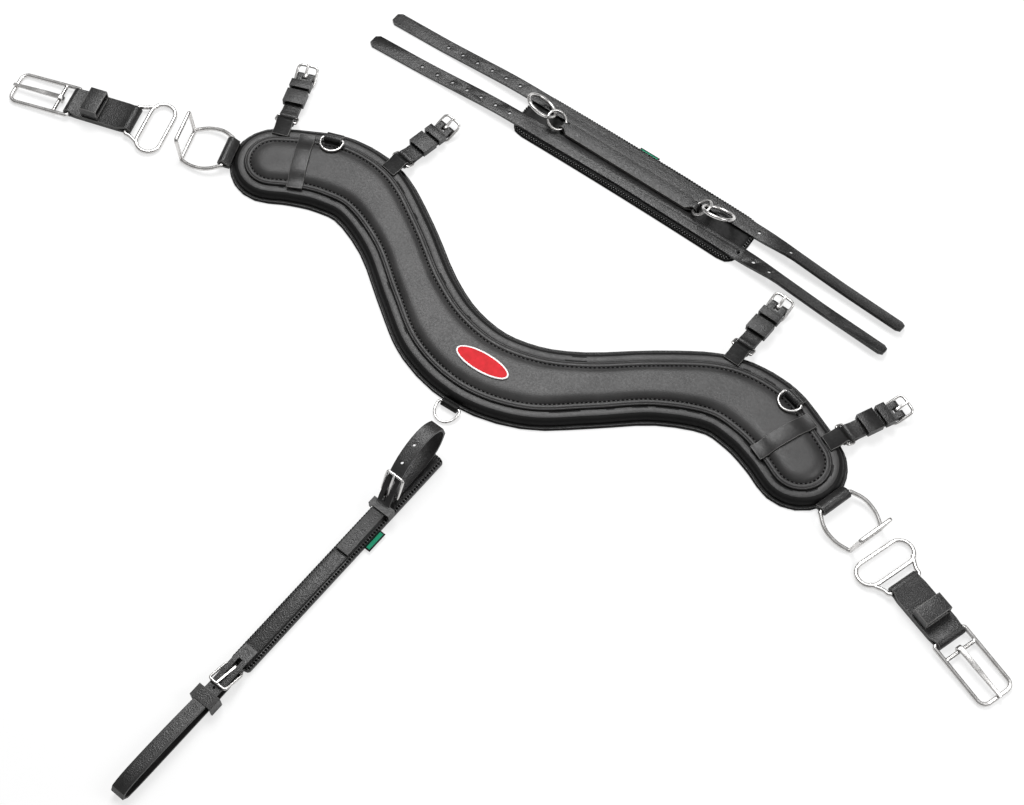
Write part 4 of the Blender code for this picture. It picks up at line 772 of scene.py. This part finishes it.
def badge():
    """Oval badge: a white rim round a slightly domed red field."""
    low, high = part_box("badge")
    middle = (low + high) / 2
    half = (high - low) / 2
    rim = oval(half.x, half.y, (middle.x, middle.y, low.z))
    raised = bmesh.ops.extrude_face_region(rim, geom=rim.faces[:])["geom"]
    raised_verts = [one for one in raised if isinstance(one, bmesh.types.BMVert)]
    bmesh.ops.translate(rim, vec=(0, 0, high.z - low.z), verts=raised_verts)
    top = [one for one in raised if isinstance(one, bmesh.types.BMFace)]
    bmesh.ops.inset_region(rim, faces=top, thickness=BADGE_RIM_EDGE, depth=BADGE_RIM_RISE)
    bmesh.ops.inset_region(rim, faces=top, thickness=BADGE_RIM_WIDTH, depth=0)
    bmesh.ops.inset_region(rim, faces=top, thickness=BADGE_RIM_SLOPE, depth=-BADGE_RIM_DROP)
    field_place = (middle.x, middle.y, high.z - BADGE_RIM_RISE)
    field = oval(half.x - BADGE_FIELD_INSET, half.y - BADGE_FIELD_INSET, field_place)
    for inset, rise in BADGE_DOME:
        middle_face = max(field.faces, key=lambda one: len(one.verts))
        bmesh.ops.inset_region(field, faces=[middle_face], thickness=inset * MM, depth=rise * MM)
    bmesh.ops.recalc_face_normals(rim, faces=rim.faces)
    show("badge_rim", rim, WHITE, "collar", ["badge"])
    show("badge_field", field, RED, "collar", smooth_deg=60)


badge()


# Pads of the neck strap and the martingale, with their seams

def seam_beads(name, node, ring, piece, inset):
    """Thick seam of two rows round a pad: pale stitches over dark ones."""
    tree = surface_below(piece)
    body = body_of_node[node]
    seam = [(drawn_in(ring, inset), True)]
    sewn(f"{name}_dark", body, tree, seam, pitch=SEAM_PITCH, length=SEAM_PITCH * 0.9, width=3 * MM)
    rows = [(drawn_in(ring, inset - 0.6 * MM), True), (drawn_in(ring, inset + 0.7 * MM), True)]
    sewn(
        f"{name}_pale", body, tree, rows, thread=PALE_THREAD, pitch=SEAM_PITCH, length=SEAM_PITCH * 0.4,
        width=1.2 * MM, sink=-0.45 * MM,
    )


def neck_pad():
    """Stuffed pad with a rolled edge on a thin bottom leather, sewn all round."""
    ring = section_ring("neck_pad", PAD_SEAM_HEIGHT)
    bm = shell([lifted(drawn_in(ring, inset * MM), height * MM) for inset, height in NECK_PAD_LEVELS])
    hand_worked(bm, 20 * MM, 0.25 * MM, 2 * MM)
    body = body_of_node["neck_pad"]
    pad = show("neck_pad_body", bm, ROLL_LEATHER, body, ["neck_pad"], 60)
    seam_beads("neck_seam", "neck_pad", ring, pad, NECK_SEAM_INSET)


def martingale_pad():
    """Long stuffed pad with its strap sewn on, and a seam along its edges."""
    # the lighter rim leather paints a highlight along the pad's rounded edges
    pad = cut_leather("martingale_pad", STRAP_LEATHER, MARTINGALE_EDGE, rim=CROSS_LEATHER)
    ring = section_ring("martingale_pad", PAD_SEAM_HEIGHT)
    seam_beads("martingale_seam", "martingale_pad", ring, pad, MARTINGALE_SEAM_INSET)


def nearest_side(ring, near):
    """The side of a ring that passes nearest to a place, and the spot on it."""
    sides = []
    for start, end in zip(ring, ring[1:] + ring[:1]):
        spot, share = geometry.intersect_point_line(near, start, end)
        spot = spot.to_2d()
        if 0 <= share <= 1:
            sides.append(((spot - near).length, spot, (end - start).normalized()))
    _, spot, run = min(sides, key=lambda one: one[0])
    return spot, run


def tape_tag(name, node, near, length):
    """A folded tape, plain, sewn into a pad's seam where the ring passes nearest to a place."""
    spot, run = nearest_side(section_ring(node, PAD_SEAM_HEIGHT), Vector(near))
    out = Vector((run.y, -run.x))
    bm = bmesh.new()
    bmesh.ops.create_cube(bm, size=1)
    bmesh.ops.scale(bm, vec=(length, TAG_WIDTH + TAG_TUCK, TAG_THICKNESS), verts=bm.verts)
    bmesh.ops.bevel(
        bm, geom=bm.edges[:], offset=TAG_EDGE, offset_type="OFFSET", affect="EDGES", segments=2, profile=0.5,
        clamp_overlap=True, material=-1,
    )
    centre = spot + out * (TAG_WIDTH - TAG_TUCK) / 2
    turned = Matrix.Rotation(math.atan2(run.y, run.x), 4, "Z")
    place = Matrix.Translation((centre.x, centre.y, TAG_HEIGHT)) @ turned
    bmesh.ops.transform(bm, matrix=place, verts=bm.verts)
    show(name, bm, ROLL_LEATHER, body_of_node[node])
    tape = bmesh.new()
    bmesh.ops.create_cube(tape, size=1)
    tape_size = (length * TAPE_LENGTH_SHARE, TAG_WIDTH * TAPE_WIDTH_SHARE, TAPE_THICKNESS)
    bmesh.ops.scale(tape, vec=tape_size, verts=tape.verts)
    bmesh.ops.translate(tape, vec=TAPE_OFFSET, verts=tape.verts)
    bmesh.ops.transform(tape, matrix=place, verts=tape.verts)
    show(f"{name}_tape", tape, GREEN, body_of_node[node])


# Straps, tabs and hardware that keep the part's shapes

for side in ("left", "right"):
    cut_leather(f"cross_strap_{side}", CROSS_LEATHER)
    for node in (f"face_dee_tab_{side}", f"end_tab_{side}", f"trace_leather_{side}"):
        cut_leather(node)
    cut_leather(f"trace_keeper_{side}", edge=KEEPER_EDGE)
    for node in (f"face_dee_{side}", f"chape_ring_{side}"):
        bent_wire(node)
    bent_wire(f"rein_ring_{side}", RING_WIRE, RING_SWELL_SHARE)
    filed_tongue(f"trace_tongue_{side}")
    slot_loop(f"slot_loop_{side}", lying_frame(f"slot_loop_{side}", SLOT_REACH))
    trace_dee(f"trace_dee_{side}", lying_frame(f"trace_dee_{side}", TRACE_DEE_DEPTH), HOOK_LEAN[side])
    trace_buckle(f"trace_buckle_{side}", lying_frame(f"trace_buckle_{side}", TRACE_BUCKLE_LENGTH))
bent_wire("centre_dee")
for tug in ("tug_outer_left", "tug_inner_left", "tug_inner_right", "tug_outer_right"):
    cut_leather(f"{tug}_tab", ROLL_LEATHER)
    cut_leather(f"{tug}_strap")
    bent_wire(f"{tug}_loop")
    bent_wire(f"{tug}_buckle")
    filed_tongue(f"{tug}_tongue")
for node in ("neck_upper_strap", "neck_lower_strap", "neck_strip"):
    cut_leather(node)
for node in ("billet_strap", "girth_strap"):
    # the lighter rim leather paints a highlight along the straps' rounded edges
    cut_leather(node, levels=1, rim=CROSS_LEATHER)
neck_pad()
martingale_pad()
tape_tag("neck_tag", "neck_pad", NECK_TAG_PLACE, NECK_TAG_LENGTH)
tape_tag("martingale_tag", "martingale_pad", MARTINGALE_TAG_PLACE, MARTINGALE_TAG_LENGTH)
for end in ("billet", "girth"):
    bent_wire(f"{end}_buckle")
    filed_tongue(f"{end}_tongue")
lining = frame["nodes"]["collar_lining"]
lining.data.materials.clear()
lining.data.materials.append(ROLL_LEATHER)


# Studio: pale floor, soft light, camera at the photograph's angle

def pale_floor():
    """White floor: the camera and the metal see it part lit and part bright by itself."""
    floor_bm = bmesh.new()
    bmesh.ops.create_grid(floor_bm, x_segments=1, y_segments=1, size=FLOOR_HALF_SIZE)
    mesh = bpy.data.meshes.new("floor")
    floor_bm.to_mesh(mesh)
    floor_bm.free()
    floor = bpy.data.objects.new("floor", mesh)
    floor.location.z = -FLOOR_DROP
    bpy.context.scene.collection.objects.link(floor)
    material, tree, shader = new_material("pale_floor", 0.9)
    shader.inputs["Base Color"].default_value = (FLOOR_TONE, FLOOR_TONE, FLOOR_TONE, 1)
    shader.inputs["Specular IOR Level"].default_value = 0.0
    rays = wire_up(tree, "ShaderNodeLightPath").outputs
    in_metal = wire_up(
        tree, "ShaderNodeMath", {0: rays["Is Glossy Ray"], 1: FLOOR_IN_METAL_SHARE}, operation="MULTIPLY"
    )
    seen = wire_up(
        tree, "ShaderNodeMath", {0: rays["Is Camera Ray"], 1: FLOOR_SEEN_SHARE}, operation="MULTIPLY"
    )
    share = wire_up(
        tree, "ShaderNodeMath", {0: seen.outputs["Value"], 1: in_metal.outputs["Value"]}, operation="MAXIMUM"
    ).outputs["Value"]
    paper = wire_up(tree, "ShaderNodeEmission", {"Color": (1, 1, 1, 1), "Strength": 1.0}).outputs["Emission"]
    mixed = wire_up(tree, "ShaderNodeMixShader", {"Fac": share})
    tree.links.new(shader.outputs["BSDF"], mixed.inputs[1])
    tree.links.new(paper, mixed.inputs[2])
    tree.links.new(mixed.outputs["Shader"], tree.nodes["Material Output"].inputs["Surface"])
    mesh.materials.append(material)


def soft_light():
    """A sky that brightens upwards, and two softboxes aimed at the set."""
    world = bpy.data.worlds.new("studio")
    bpy.context.scene.world = world
    world.use_nodes = True
    tree = world.node_tree
    direction = wire_up(tree, "ShaderNodeTexCoord").outputs["Generated"]
    height = wire_up(tree, "ShaderNodeSeparateXYZ", {"Vector": direction}).outputs["Z"]
    ramp = wire_up(tree, "ShaderNodeValToRGB", {"Fac": height})
    for element, (position, tone) in zip(ramp.color_ramp.elements, SKY_RAMP):
        element.position = position
        element.color = (tone, tone, tone, 1)
    tree.links.new(ramp.outputs["Color"], tree.nodes["Background"].inputs["Color"])
    tree.nodes["Background"].inputs["Strength"].default_value = SKY_STRENGTH
    for name, spot, size, power in SOFTBOXES:
        lamp = bpy.data.lights.new(name, "AREA")
        lamp.shape = "SQUARE"
        lamp.size = size
        lamp.energy = power
        holder = bpy.data.objects.new(name, lamp)
        holder.location = spot
        holder.rotation_euler = (-Vector(spot)).to_track_quat("-Z", "Y").to_euler()
        bpy.context.scene.collection.objects.link(holder)


def photo_camera():
    """Camera that stands where the photograph was taken from."""
    camera_data = bpy.data.cameras.new("camera")
    camera_data.lens = CAMERA_LENS
    camera_data.sensor_width = CAMERA_SENSOR
    camera = bpy.data.objects.new("camera", camera_data)
    camera.location = CAMERA_PLACE
    aim = CAMERA_AIM - camera.location
    camera.rotation_euler = aim.to_track_quat("-Z", "Y").to_euler()
    bpy.context.scene.collection.objects.link(camera)
    bpy.context.scene.camera = camera
    bpy.context.scene.view_settings.view_transform = "Standard"


pale_floor()
soft_light()
photo_camera()
bpy.context.view_layer.update()
